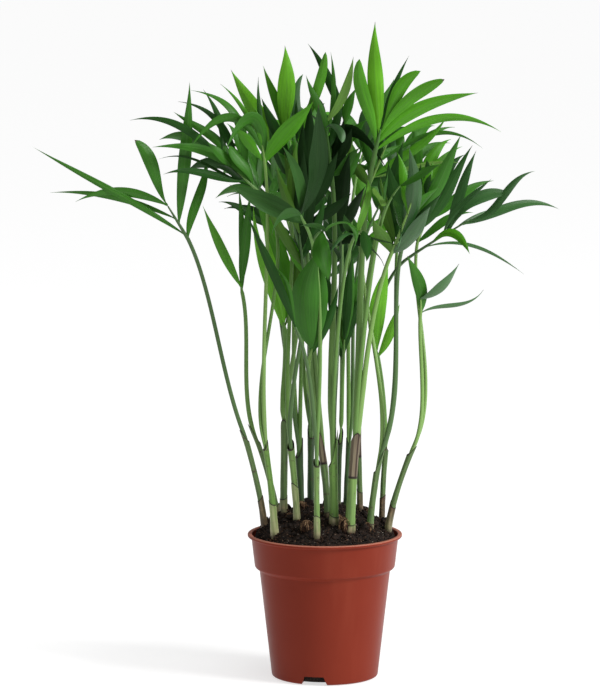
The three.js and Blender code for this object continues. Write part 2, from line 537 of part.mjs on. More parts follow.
// The leaflets of a frond, each { place, angle, length, lift, width, arch, roll }.
function leafRows(row, seed) {
  const random = sequence(seed * 7919 + 17);
  const sway = (reach) => reach * (2 * random() - 1);
  let rows = row.leaves;
  if (!rows) {
    rows = [];
    for (let i = 0; i < row.pairs; i += 1) {
      const place = row.pairs > 1 ? i / (row.pairs - 1) : 1;
      for (const side of [-1, 1]) {
        const open = RULE.crownAngle + (RULE.tipAngle - RULE.crownAngle) * place;
        const angle = side * (open + sway(RULE.angleSway));
        const share = 0.82 + 0.18 * Math.sin(Math.PI * place) + sway(RULE.lengthSway);
        const lift = RULE.lift + sway(RULE.liftSway);
        rows.push([place, angle, row.reach * share, lift]);
      }
    }
  }
  return rows.map(([place, angle, length, lift, breadth, curve, sweep = 0]) => {
    const broad = place > 0.95;
    const width = breadth ?? Math.min(broad ? LEAF.mostTip : LEAF.mostWidth,
      Math.max(LEAF.leastWidth, length * (broad ? LEAF.broad : LEAF.slim)));
    const arch = curve ?? LEAF_FORM.arch + sway(LEAF_FORM.archSway);
    const roll = Math.sign(angle) * (LEAF_FORM.roll + sway(LEAF_FORM.rollSway));
    return { place, angle, length, lift, width, arch, sweep, roll };
  });
}

// The share of a leaflet's full width at s of its length.
function leafOutline(s) {
  return Math.sin(Math.PI * s ** 0.75) ** 0.8;
}

function leafSolid(frame, leaf, [turn, tilt, share]) {
  const angle = radians(leaf.angle + turn);
  const lift = radians(leaf.lift + tilt);
  const length = leaf.length * share;
  const base = frame.rib.getPoint(leaf.place * RIB.lastSeat);
  const chord = frame.along.clone().multiplyScalar(Math.cos(lift) * Math.cos(angle))
    .addScaledVector(frame.right, Math.cos(lift) * Math.sin(angle))
    .addScaledVector(frame.upper, Math.sin(lift));
  const crest = new THREE.Vector3(0, 0, 1).addScaledVector(frame.upper, RIB.archLean);
  crest.addScaledVector(chord, -crest.dot(chord)).normalize();
  const bend = crest.clone().multiplyScalar(4 * leaf.arch * length)
    .addScaledVector(chord.clone().cross(crest), 4 * leaf.sweep * length);
  const thickness = Math.max(LEAF_FORM.thinnest, leaf.length * LEAF_FORM.thickness);
  const geometry = new THREE.SphereGeometry(1, 4, LEAF_STATIONS.length - 1);
  return solidOf(reshape(geometry, (x, y, z, u, v) => {
    const s = LEAF_STATIONS[Math.round(v * (LEAF_STATIONS.length - 1))];
    const middle = base.clone().addScaledVector(chord, length * s);
    middle.addScaledVector(bend, s * (1 - s));
    if (s === 0 || s === 1) return middle;
    const along = chord.clone().multiplyScalar(length);
    along.addScaledVector(bend, 1 - 2 * s).normalize();
    const across = along.clone().cross(frame.upper).normalize();
    across.applyAxisAngle(along, radians(leaf.roll));
    const up = across.clone().cross(along);
    const half = 0.5 * leaf.width * leafOutline(s);
    const rim = Math.abs(x) > 0.1;
    return middle.addScaledVector(across, rim ? Math.sign(x) * half : 0)
      .addScaledVector(up, rim ? -LEAF.fold * half : Math.sign(z) * thickness / 2);
  }));
}

// ---- growth: every limb, then every leaflet, each clear of what stands already --------------

const standing = [];

function stand(owner, solid) {
  standing.push({ owner, solid, box: solid.boundingBox() });
}

function hasRoom(solid, kin) {
  const box = solid.boundingBox();
  return standing.every((other) => {
    if (kin.includes(other.owner)) return true;
    for (let axis = 0; axis < 3; axis += 1) {
      if (box.min[axis] > other.box.max[axis] + CLEAR) return true;
      if (box.max[axis] < other.box.min[axis] - CLEAR) return true;
    }
    return solid.minGap(other.solid, CLEAR) >= CLEAR * 0.999;
  });
}

// The first of the tries whose solid has room beside all but its kin, or null.
function firstClear(kin, tries, make) {
  for (const one of tries) {
    const solid = make(one);
    if (hasRoom(solid, kin)) return solid;
  }
  return null;
}

const solids = { pot: potSolid(), soil: soilSolid() };
for (const name of Object.keys(STEMS)) solids[`stem_${name}`] = stemSolid(STEMS[name]);
for (const [name, solid] of Object.entries(solids)) stand(name, solid);

const seats = Object.assign({}, ...Object.keys(STEMS).map(stalkSeats));
const frames = {};
const parts = {};
for (const [key, row] of Object.entries(FRONDS)) {
  frames[key] = frondFrame(row);
  // A stalk rests just above its own stem, closer than it may come to anything else.
  const [bowX, bowY] = row.bow ?? [0, 0];
  const make = ([x, y]) => frondLimb(seats[key], frames[key], [x + bowX, y + bowY]);
  const limb = firstClear([`stem_${key.slice(0, 2)}`], BOWS, make) ?? make(BOWS[0]);
  parts[key] = [limb];
  stand(key, limb);
}
Object.entries(FRONDS).forEach(([key, row], seed) => {
  for (const leaf of leafRows(row, seed)) {
    const solid = firstClear([key], TURNS, (turn) => leafSolid(frames[key], leaf, turn));
    if (solid) {
      parts[key].push(solid);
      stand(key, solid);
    }
  }
  solids[`frond_${key}`] = wasm.Manifold.union(parts[key]);
});

// ---- the plant -----------------------------------------------------------------------------

const LOOKS = {
  pot: { color: 0x8a4032, roughness: 0.45, metalness: 0 },
  soil: { color: 0x2a211c, roughness: 0.95, metalness: 0 },
  stem: { color: 0x86a066, roughness: 0.55, metalness: 0 },
  frond: { color: 0x3f7a30, roughness: 0.5, metalness: 0 },
};

const palm = new THREE.Group();
palm.name = 'parlour_palm';
for (const [name, solid] of Object.entries(solids)) {
  const look = LOOKS[name.split('_')[0]];
  const mesh = new THREE.Mesh(geometryOf(solid), new THREE.MeshStandardMaterial(look));
  mesh.name = name;
  palm.add(mesh);
}

export default palm;
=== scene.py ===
# Parlour palm in its nursery pot: seventeen seedlings in one pot, each a sheathed stem with one
# to three fronds. The sizes are in millimetres, and each piece is brought to metres as it is
# finished. +Z is up and the origin is the centre of the pot's underside.
import math
import random

import bmesh
import bpy
from mathutils import Matrix, Vector, kdtree, noise


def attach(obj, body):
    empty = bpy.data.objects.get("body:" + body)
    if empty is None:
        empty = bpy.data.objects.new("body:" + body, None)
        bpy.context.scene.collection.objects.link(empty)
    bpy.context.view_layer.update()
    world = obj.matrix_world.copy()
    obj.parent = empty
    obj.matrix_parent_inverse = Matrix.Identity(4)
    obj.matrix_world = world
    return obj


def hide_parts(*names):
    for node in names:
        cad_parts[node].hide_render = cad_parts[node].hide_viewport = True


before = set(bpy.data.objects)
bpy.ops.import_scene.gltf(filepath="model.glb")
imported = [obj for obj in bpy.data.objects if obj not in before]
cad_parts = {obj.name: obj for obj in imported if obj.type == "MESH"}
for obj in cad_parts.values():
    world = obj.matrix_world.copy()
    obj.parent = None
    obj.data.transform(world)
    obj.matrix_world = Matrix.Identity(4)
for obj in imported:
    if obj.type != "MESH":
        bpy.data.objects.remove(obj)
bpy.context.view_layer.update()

# ---- Viewpoint -------------------------------------------------------------------------------
# The plant is looked at from its front and a little above, from three metres away with a long
# lens, so that its stems stay nearly upright in the picture.

EYE = Vector((-0.0193, -3.0, 0.651))
AIM = Vector((-0.0193, 0.0, 0.2553))
LENS = 201.6
SIGHT = 100
camera = bpy.data.objects.new("camera", bpy.data.cameras.new("camera"))
camera.data.lens = LENS
camera.data.clip_end = SIGHT
camera.location = EYE
camera.rotation_euler = (AIM - EYE).to_track_quat("-Z", "Y").to_euler()
bpy.context.collection.objects.link(camera)
bpy.context.scene.camera = camera

# ---- Pot -------------------------------------------------------------------------------------
# A nursery pot drawn from one thin sheet of terracotta-brown plastic: a tapered body, a deep
# collar that steps out under a rolled lip, and a flat foot with three drain channels in it.

MM = 0.001
# The foot's radius, how high the drain channels rise, and the steps that a body is spun in.
POT = {"foot": 41.2, "rise": 6.6, "steps": 168}
# The wall's outline from the foot's middle up over the lip and down inside: radius, height and
# how far each corner is rounded.
POT_WALL = [
    (0, 0.5, 0), (38.4, 0.5, 0.4), (38.8, 0, 0.3), (41.2, 0, 1.6), (50.8, 83.6, 0.7), (54.4, 86, 1.1),
    (57.1, 109.2, 0.6), (60, 109.9, 0.7), (60, 112, 0.9), (56.6, 112, 0.8), (53.1, 86.7, 0.9),
    (49.5, 83.2, 0.8), (39.9, 1.6, 1.2), (0, 1.6, 0),
]
# What the roofs over the drain channels are trimmed to, so that they end within the wall.
ROOF_REACH = [(0, 0.5, 0), (40.8, 0.5, 0), (50.2, 83, 0), (0, 83, 0)]
# A channel's breadth at its foot and its roof, and where it ends towards the middle. Its plastic is
# a skin from skin_foot up, and both the skin and the cut run past the foot's edge.
CHANNELS = {"turns": (-12, 108, 228), "foot": 21, "roof": 15, "inner": 19.2, "skin": 1.5,
            "skin_foot": 0.6, "skin_past": 5, "cut_foot": -1, "cut_past": 9}
DRAIN = {"radius": 4, "from_middle": 24, "depth": 60, "sides": 24}
CORNER_SEGMENTS = 5
# crest is the pale colour of a painted highlight along the lip's top edge.
TERRACOTTA = {"deep": (0.185, 0.0235, 0.011), "plain": (0.205, 0.028, 0.0135),
              "streak": (0.225, 0.037, 0.019), "crest": (0.42, 0.16, 0.11)}
# The heights, in metres, between which the painted highlight along the lip's crest sets in.
CREST_HIGHLIGHT = (0.1112, 0.1117)


def node(tree, kind, inputs=None, **settings):
    """Adds one node, with its settings and its sockets' values or the sockets that feed them."""
    made = tree.nodes.new(kind)
    for name, value in settings.items():
        setattr(made, name, value)
    for name, value in (inputs or {}).items():
        if isinstance(value, bpy.types.NodeSocket):
            tree.links.new(value, made.inputs[name])
        else:
            made.inputs[name].default_value = value
    return made


def finish(name, roughness, specular=0.5):
    """A new finish and its tree, with the values that are the same all over it."""
    material = bpy.data.materials.new(name)
    material.use_nodes = True
    shader = material.node_tree.nodes["Principled BSDF"]
    shader.inputs["Roughness"].default_value = roughness
    shader.inputs["Specular IOR Level"].default_value = specular
    return material, material.node_tree, shader


def blend_of(tree, factor, first, second):
    """A colour between two colours or sockets."""
    mix = node(tree, "ShaderNodeMix", data_type="RGBA")
    for socket, value in ((mix.inputs["Factor"], factor), (mix.inputs[6], first), (mix.inputs[7], second)):
        if isinstance(value, bpy.types.NodeSocket):
            tree.links.new(value, socket)
        else:
            socket.default_value = (*value, 1)
    return mix.outputs[2]


def ranged(tree, value, low=0.0, high=1.0, start=0.0, end=1.0):
    """Takes a value from low and high to start and end, and holds it there outside them."""
    return node(tree, "ShaderNodeMapRange", {"Value": value, "From Min": low, "From Max": high,
                                             "To Min": start, "To Max": end}).outputs["Result"]


def patches(tree, vector, scale, detail, low, high):
    """Cloudy patches from 0 to 1, with their soft edge between the shares low and high."""
    cloud = node(tree, "ShaderNodeTexNoise", {"Vector": vector, "Scale": scale, "Detail": detail})
    return ranged(tree, cloud.outputs["Fac"], low, high)


def object_place(tree):
    """Where on the piece a point lies, in metres."""
    return node(tree, "ShaderNodeTexCoord").outputs["Object"]


def stretched(tree, vector, scale):
    """The vector for a pattern that is finer along some axes than along others."""
    return node(tree, "ShaderNodeMapping", {"Vector": vector, "Scale": scale}).outputs["Vector"]


def part_of(tree, vector, axis):
    """One of the vector's three values."""
    return node(tree, "ShaderNodeSeparateXYZ", {"Vector": vector}).outputs[axis]


def relief(tree, shader, height, distance, strength):
    """Raises the surface by height, at most by distance."""
    bump = node(tree, "ShaderNodeBump", {"Height": height, "Distance": distance, "Strength": strength})
    tree.links.new(bump.outputs["Normal"], shader.inputs["Normal"])


def piece_of(name, shape, nodes, finishes, crease=40):
    """Makes a finished shape, still in millimetres, the piece that stands for the CAD nodes."""
    bmesh.ops.scale(shape, vec=(MM, MM, MM), verts=shape.verts)
    for face in shape.faces:
        face.smooth = True
    mesh = bpy.data.meshes.new(name)
    shape.to_mesh(mesh)
    shape.free()
    mesh.set_sharp_from_angle(angle=math.radians(crease))
    for one in finishes:
        mesh.materials.append(one)
    piece = bpy.data.objects.new(name, mesh)
    bpy.context.collection.objects.link(piece)
    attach(piece, "root")
    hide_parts(*nodes)


def drawn(shape, line):
    """Draws a wall's line through its corners, each a radius and a height."""
    corners = [shape.verts.new((radius, 0, height)) for radius, height in line]
    for first, second in zip(corners, corners[1:]):
        shape.edges.new((first, second))
    return corners


def spun(shape, steps):
    """Spins the line about the pot's axis."""
    bmesh.ops.spin(shape, geom=shape.verts[:] + shape.edges[:], cent=(0, 0, 0), axis=(0, 0, 1),
                   angle=2 * math.pi, steps=steps, use_merge=True)


def closed(shape):
    """Joins the seam and the poles, and turns the faces outwards."""
    bmesh.ops.remove_doubles(shape, verts=shape.verts, dist=1e-3)
    bmesh.ops.recalc_face_normals(shape, faces=shape.faces)


def turned(wall):
    """A closed body spun from a wall of (radius, height, rounding)."""
    shape = bmesh.new()
    corners = drawn(shape, [(radius, height) for radius, height, _ in wall])
    for corner, (_, _, rounding) in zip(corners, wall):
        if rounding:
            bmesh.ops.bevel(shape, geom=[corner], offset=rounding, offset_type="OFFSET",
                            segments=CORNER_SEGMENTS, profile=0.5, affect="VERTICES", material=-1)
    spun(shape, POT["steps"])
    closed(shape)
    return shape


def about_axis(shape, verts, turn):
    """Turns part of the shape about the pot's axis, by degrees."""
    bmesh.ops.rotate(shape, verts=verts, cent=(0, 0, 0), matrix=Matrix.Rotation(math.radians(turn), 3, "Z"))


def channel_bar(shape, turn, inner, outer, skin, foot):
    """A drain channel's trapezoid bar from the pot's inside out, grown by skin."""
    made = bmesh.ops.create_cube(shape, size=2)["verts"]
    for corner in made:
        width = CHANNELS["roof"] if corner.co.z > 0 else CHANNELS["foot"]
        height = POT["rise"] + skin if corner.co.z > 0 else foot
        reach = outer if corner.co.y < 0 else inner
        corner.co = (corner.co.x * (width / 2 + skin), -reach, height)
    about_axis(shape, made, turn)


roofs, channels, drains = bmesh.new(), bmesh.new(), bmesh.new()
for channel_turn in CHANNELS["turns"]:
    channel_bar(roofs, channel_turn, CHANNELS["inner"] - CHANNELS["skin"],
                POT["foot"] + CHANNELS["skin_past"], CHANNELS["skin"], CHANNELS["skin_foot"])
    channel_bar(channels, channel_turn, CHANNELS["inner"],
                POT["foot"] + CHANNELS["cut_past"], 0, CHANNELS["cut_foot"])
    hole = bmesh.ops.create_cone(drains, cap_ends=True, segments=DRAIN["sides"], depth=DRAIN["depth"],
                                 radius1=DRAIN["radius"], radius2=DRAIN["radius"])["verts"]
    bmesh.ops.translate(drains, verts=hole, vec=(0, -DRAIN["from_middle"], 0))
    about_axis(drains, hole, channel_turn)

pot_plastic, tree, shader = finish("terracotta plastic", 0.38, 0.08)
place = object_place(tree)
streaks = patches(tree, stretched(tree, place, (55, 55, 5)), 1, 3, 0.55, 0.9)
tint = blend_of(tree, patches(tree, place, 16, 3, 0.3, 0.7), TERRACOTTA["deep"], TERRACOTTA["plain"])
streaked = blend_of(tree, streaks, tint, TERRACOTTA["streak"])
# The lip's crest is painted pale: a painted highlight along its top edge.
crest_highlight = ranged(tree, part_of(tree, place, "Z"), *CREST_HIGHLIGHT, 0, 0.9)
tree.links.new(blend_of(tree, crest_highlight, streaked, TERRACOTTA["crest"]), shader.inputs["Base Color"])
sheen = ranged(tree, patches(tree, place, 30, 4, 0.3, 0.7), 0, 1, 0.32, 0.42)
tree.links.new(sheen, shader.inputs["Roughness"])
relief(tree, shader, patches(tree, place, 420, 2, 0.2, 0.8), 0.0002, 0.12)


def carved(shape, tool_shape, operation):
    """The shape joined with the tool's, less it, or only where both are."""
    pair = []
    for name, part in (("carved", shape), ("tool", tool_shape)):
        mesh = bpy.data.meshes.new(name)
        part.to_mesh(mesh)
        part.free()
        pair.append(bpy.data.objects.new(name, mesh))
        bpy.context.collection.objects.link(pair[-1])
    body, tool = pair
    carve = body.modifiers.new(operation, "BOOLEAN")
    carve.operation = operation
    carve.solver = "MANIFOLD"
    carve.object = tool
    bpy.context.view_layer.update()
    made = bmesh.new()
    made.from_object(body, bpy.context.evaluated_depsgraph_get())
    for one in pair:
        bpy.data.objects.remove(one)
    return made


roofs = carved(roofs, turned(ROOF_REACH), "INTERSECT")
body = carved(turned(POT_WALL), roofs, "UNION")
body = carved(body, channels, "DIFFERENCE")
body = carved(body, drains, "DIFFERENCE")
piece_of("nursery_pot", body, ["pot"], [pot_plastic], crease=35)

# ---- Soil ------------------------------------------------------------------------------------
# Dark, moist peat mix that fills the pot to just under its lip, heaped to a low mound and crumbly
# on top.

# Its height at the wall and in the middle, how it leans to the back, its radius, how high its
# lumps stand and the power that rounds it.
SOIL = {"edge": 106.5, "crest": 128, "lean": 0.15, "radius": 55.0, "lumps": 1.1, "shape": 0.5}
SOIL_WALL = [(55.0, 104.4), (52.6, 87.2), (49.0, 82.6), (39.3, 2.2), (0, 2.2)]
# The rings and the steps of its top, which is drawn well above the mound and lowered on to it.
TOP = {"rings": 96, "steps": 256, "above": 50}


def soil_height(x, y):
    """The mound's height, without its crumbs."""
    rim = min(1.0, math.hypot(x, y) / SOIL["radius"])
    mound = (1 - rim * rim) ** SOIL["shape"]
    broad = math.sin(x * 0.31 + 1.3) * math.cos(y * 0.27 - 0.6)
    lumps = broad + 0.6 * math.sin(x * 0.53 - y * 0.41)
    heap = SOIL["crest"] + SOIL["lean"] * y - SOIL["edge"]
    return SOIL["edge"] + heap * mound + SOIL["lumps"] * lumps * min(1.0, 4 * (1 - rim))


def crumble(x, y):
    """How far the crumbs stand out of the mound."""
    spot = Vector((x, y, 0))
    clods = noise.fractal(spot / 7, 0.7, 2.1, 3) * 1.6
    grit = (0.5 - noise.voronoi(spot / 1.7)[0][0]) * 1.3 + noise.noise(spot * 1.6) * 0.4
    return clods + grit


shape = bmesh.new()
top = [(SOIL["radius"] * i / TOP["rings"], SOIL["crest"] + TOP["above"]) for i in range(TOP["rings"] + 1)]
drawn(shape, top + SOIL_WALL)
spun(shape, TOP["steps"])
for vert in shape.verts:
    if vert.co.z > SOIL["crest"]:
        inward = min(1.0, (SOIL["radius"] - math.hypot(vert.co.x, vert.co.y)) / 4)
        height = soil_height(vert.co.x, vert.co.y)
        vert.co.z = height + crumble(vert.co.x, vert.co.y) * (0.25 + 0.75 * inward)
closed(shape)


def earth(name, dark, light, roughness, specular):
    """A crumbly brown between dark and light."""
    material, tree, shader = finish(name, roughness, specular)
    place = object_place(tree)
    mottle = patches(tree, place, 650, 4, 0.42, 0.72)
    tree.links.new(blend_of(tree, mottle, dark, light), shader.inputs["Base Color"])
    relief(tree, shader, patches(tree, place, 1500, 3, 0.2, 0.8), 0.0004, 0.8)
    return material


peat = earth("moist peat", (0.0045, 0.0028, 0.002), (0.034, 0.019, 0.012), 0.85, 0.2)
piece_of("peat_mound", shape, ["soil"], [peat], crease=70)

# ---- Clods and grains ------------------------------------------------------------------------
# What lies on the mound: crumbs and clods of peat, chips of bark, pale root chaff and grains of
# perlite, pressed in a little where they fell, and clods heaped against the stems at the back.

# Each row: how many, out to which radius, their least and greatest size, how flat, which finish
# and how finely they are faceted.
LITTER = [
    (1500, 53.5, 0.45, 1.1, 0.75, 0, 1), (260, 53, 0.4, 1.2, 0.5, 1, 1), (70, 50, 1.4, 2.6, 0.7, 0, 2),
    (420, 53, 0.18, 0.42, 0.8, 2, 1), (380, 53, 0.3, 0.8, 0.4, 3, 1),
]
# The clods' x, y and size, and how many crumbs lie on each.
CLODS = [
    (-14, 40, 5.5), (-7, 47, 4.5), (15, 44, 5), (22, 38, 4), (-34, 26, 4.5), (-30, 33, 4),
    (31, 30, 4), (37, -14, 4), (30, -26, 3.5), (4, 36, 4), (46, 2, 3.5), (-46, 8, 3.5),
]
CLOD_CRUMBS = 50
# How deep a crumb lies in the mound, as a share of its size, how many are made at a time, and out
# to which radius anything loose may lie.
SUNK = 0.3
HEAP = 20
LOOSE = 53
dice = random.Random(417)


def scattered(reach):
    """A random spot on the mound within reach of its middle."""
    radius = reach * math.sqrt(dice.random())
    turn = dice.uniform(0, 2 * math.pi)
    return radius * math.cos(turn), radius * math.sin(turn)


def crumb(shape, x, y, size, flat, sink, finish_index, roundness=1):
    """One clod, chip or grain, lying on the mound."""
    made = bmesh.ops.create_icosphere(shape, subdivisions=roundness, radius=1)["verts"]
    shift = Vector((dice.uniform(-50, 50), dice.uniform(-50, 50), dice.uniform(-50, 50)))
    stretch = Vector((dice.uniform(0.7, 1.35), dice.uniform(0.7, 1.1), flat))
    for vert in made:
        rough = 1 + 0.45 * noise.noise(vert.co * 1.4 + shift)
        vert.co = vert.co * stretch * size * rough
    turn = Matrix.Rotation(dice.uniform(0, 6.3), 3, "Z") @ Matrix.Rotation(dice.uniform(-0.6, 0.6), 3, "X")
    bmesh.ops.rotate(shape, verts=made, cent=(0, 0, 0), matrix=turn)
    height = soil_height(x, y) + crumble(x, y) * 0.8 + size * flat * (1 - 2 * sink)
    bmesh.ops.translate(shape, verts=made, vec=(x, y, height))
    for face in {face for vert in made for face in vert.link_faces}:
        face.material_index = finish_index


def poured(shape, heap):
    """Adds a heap of crumbs to the shape."""
    mesh = bpy.data.meshes.new("heap")
    heap.to_mesh(mesh)
    heap.free()
    shape.from_mesh(mesh)
    bpy.data.meshes.remove(mesh)


def peat_or_bark():
    """The finish of a crumb: mostly peat, and bark now and then."""
    return 0 if dice.random() < 0.8 else 1


shape = bmesh.new()
for count, reach, least, most, flat, skin_index, facets in LITTER:
    for _ in range(count // HEAP):
        heap = bmesh.new()
        for _ in range(HEAP):
            crumb(heap, *scattered(reach), dice.uniform(least, most), flat, SUNK, skin_index, facets)
        poured(shape, heap)
for x, y, size in CLODS:
    heap = bmesh.new()
    crumb(heap, x, y, size, 0.9, 0.2, 0, 3)
    for _ in range(CLOD_CRUMBS):
        turn, out = dice.uniform(0, 6.3), size * dice.uniform(0.2, 1.1)
        grain = dice.uniform(0.5, 1.3)
        sunk = SUNK - max(0.0, 1 - out / size) * dice.uniform(1.5, 3)
        crumb(heap, x + out * math.cos(turn), y + out * math.sin(turn), grain, 0.8, sunk, peat_or_bark())
    poured(shape, heap)
bark = earth("bark and root bits", (0.02, 0.01, 0.006), (0.11, 0.055, 0.03), 0.85, 0.2)
perlite = earth("perlite grains", (0.28, 0.24, 0.19), (0.62, 0.56, 0.48), 0.8, 0.3)
chaff = earth("pale root and bark chaff", (0.10, 0.055, 0.032), (0.30, 0.19, 0.12), 0.8, 0.2)
piece_of("peat_clods_and_grains", shape, ["soil"], [peat, bark, perlite, chaff], crease=60)

# ---- Roots and seed husks --------------------------------------------------------------------
# Fine dry roots lie in short bent threads on the mound. The seeds that the palms grew from sit
# half sunk by the stems, each in a ball of coarse brown fibres.

# How many roots there are, and out to which radius they start.
ROOTS = {"count": 120, "reach": 51}
# The husks' x, y and size, how tall each is for its size, and how many fibres wrap it.
HUSKS = [
    (-14, -31, 5.6, 1.1), (10, -17, 4.6, 1.0), (15.5, -33, 5.2, 1.6), (-27, -2, 3.8, 0.8),
    (33, -24, 3.6, 1.3), (3, 30, 4.4, 0.9), (-18, 20, 4.2, 0.9), (34, 22, 4.2, 0.8),
]
HUSK_FIBRES = 60
# The points that a thread or a fibre is bent through, and its sides and rings.
THREAD = {"points": 6, "sides": 4, "rings": 7}


def tube(shape, sides, rings, place, finish_index=0, uv=None):
    """Wraps a grid round into a closed tube. place(along, turn) gives each point, and the
    tube closes where its first and last rings shrink to a point."""
    made = bmesh.ops.create_grid(shape, x_segments=sides, y_segments=rings, size=1)["verts"]
    spots = {vert: ((vert.co.y + 1) / 2, math.pi * (vert.co.x + 1)) for vert in made}
    faces = {face for vert in made for face in vert.link_faces}
    for face in faces:
        face.material_index = finish_index
        if uv:
            for loop in face.loops:
                along, turn = spots[loop.vert]
                loop[uv].uv = (turn / (2 * math.pi), along)
    for vert, (along, turn) in spots.items():
        vert.co = place(along, turn)
    bmesh.ops.remove_doubles(shape, verts=made, dist=1e-4)
    return faces


def strand(points, radius):
    """The placing of a thin bent strand through points, for tube."""
    def place(along, turn):
        step = along * (len(points) - 1)
        index = min(int(step), len(points) - 2)
        spot = points[index].lerp(points[index + 1], step - index)
        heading = (points[index + 1] - points[index]).normalized()
        side = heading.orthogonal().normalized()
        thick = 0 if along in (0, 1) else radius
        return spot + side * math.cos(turn) * thick + heading.cross(side) * math.sin(turn) * thick
    return place


shape = bmesh.new()
for _ in range(ROOTS["count"]):
    x, y = scattered(ROOTS["reach"])
    heading = dice.uniform(0, 2 * math.pi)
    points = []
    for step in range(THREAD["points"]):
        height = soil_height(x, y) + crumble(x, y) * 0.7 + 0.5 + dice.uniform(-0.3, 0.9)
        points.append(Vector((x, y, height)))
        heading += dice.uniform(-0.6, 0.6)
        length = dice.uniform(0.7, 2.0)
        x += math.cos(heading) * length
        y += math.sin(heading) * length
        if math.hypot(x, y) > LOOSE:
            x, y = 0.97 * x, 0.97 * y
    tube(shape, THREAD["sides"], THREAD["rings"], strand(points, dice.uniform(0.1, 0.26)))
for x, y, size, tall in HUSKS:
    middle = Vector((x, y, soil_height(x, y) + 0.35 * size * tall))
    crumb(shape, x, y, size * 0.8, tall, SUNK, 0, 3)
    for _ in range(HUSK_FIBRES):
        start = Vector((dice.gauss(0, 1), dice.gauss(0, 1), dice.gauss(0.4, 0.8))).normalized()
        pole = Vector((dice.uniform(-0.25, 0.25), dice.uniform(-0.25, 0.25), 1)).normalized()
        axis = start.cross(pole).normalized()
        points = []
        for step in range(THREAD["points"]):
            swung = Matrix.Rotation(0.24 * step - 0.3, 3, axis) @ start
            swell = size * (0.93 + 0.09 * dice.random())
            points.append(middle + Vector((swung.x, swung.y, swung.z * tall)) * swell)
        fibre = strand(points, dice.uniform(0.16, 0.34))
        tube(shape, THREAD["sides"], THREAD["rings"], fibre, 1 if dice.random() < 0.6 else 0)
bmesh.ops.recalc_face_normals(shape, faces=shape.faces)
husk = earth("husk fibre", (0.10, 0.05, 0.026), (0.50, 0.33, 0.17), 0.75, 0.25)
piece_of("roots_and_seed_husks", shape, ["soil"], [bark, husk])

# ---- Stems -----------------------------------------------------------------------------------
# Each stem is the rolled sheaths of its leaves, one out of another. The outer sheath ends in a
# slanting mouth with a thin dry rim, and round its foot stands what is left of an older one.

# Rows as in the part: foot x, foot y, top x, top y, top z, foot radius, top radius.
STEMS = {
    "01": [-46.8, -5, -62.6, -12, 191.6, 2.5, 1.9],
    "02": [-38.6, -28.4, -45.8, -38, 188, 3, 1.9],
    "03": [-37.3, 22, -54.4, 26, 184, 2.6, 1.6],
    "04": [-32.1, 12, -31, 12, 199, 2.8, 2.8],
    "05": [-21.6, -14, -26.6, -16, 184.4, 2.5, 2.4],
    "06": [-18.5, 28, -20.1, 36, 176, 2.6, 2.9],
    "07": [-10.9, 44, -10.6, 58, 184, 2.8, 2.4],
    "08": [-6.3, -44, -6.7, -50, 193, 2.3, 1.9],
    "09": [2.4, -8, -1.8, -6, 174, 2.7, 2.5],
    "10": [6.9, -24, 6, -26, 198, 3.4, 3.4],
    "11": [10.8, 18, 12.6, 20, 191, 1.8, 1.5],
    "12": [19, -32, 23.1, -34, 187, 4, 3.2],
    "13": [16.7, 42, 19.3, 54, 177, 2.2, 1.8],
    "14": [27.5, 14, 26, 18, 191, 2.2, 2],
    "15": [34.4, -22, 42.8, -26, 180, 2.7, 2.1],
    "16": [44.4, 12, 47.4, 16, 179.5, 2.2, 2],
    "17": [48.4, -11, 67.6, -16, 181, 2.7, 1.9],
}
# How far down in the soil a stem starts, as a share of its length.
ROOTED = -0.09
# The share at which a stem bends and how upright it is below, its foot's flare as a share of its
# radius, how deep it stands in the soil, the sheath's wall, how far its rim turns in, how far below
# the rim it spreads and how high the dirt at the foot goes.
STEM = {"bend": 0.4, "upright": 0.6, "flare": 0.12, "sink": 1.2, "wall": 0.4, "turn_in": 14,
        "spread": 16, "dirt": 9}
# The sheath's tube, and the share of its rings that are outside, below the rim.
SHEATH = {"sides": 24, "rings": 40, "outside": 0.8}
# The ink holds lengths as a share of this many millimetres.
INK_REACH = 200
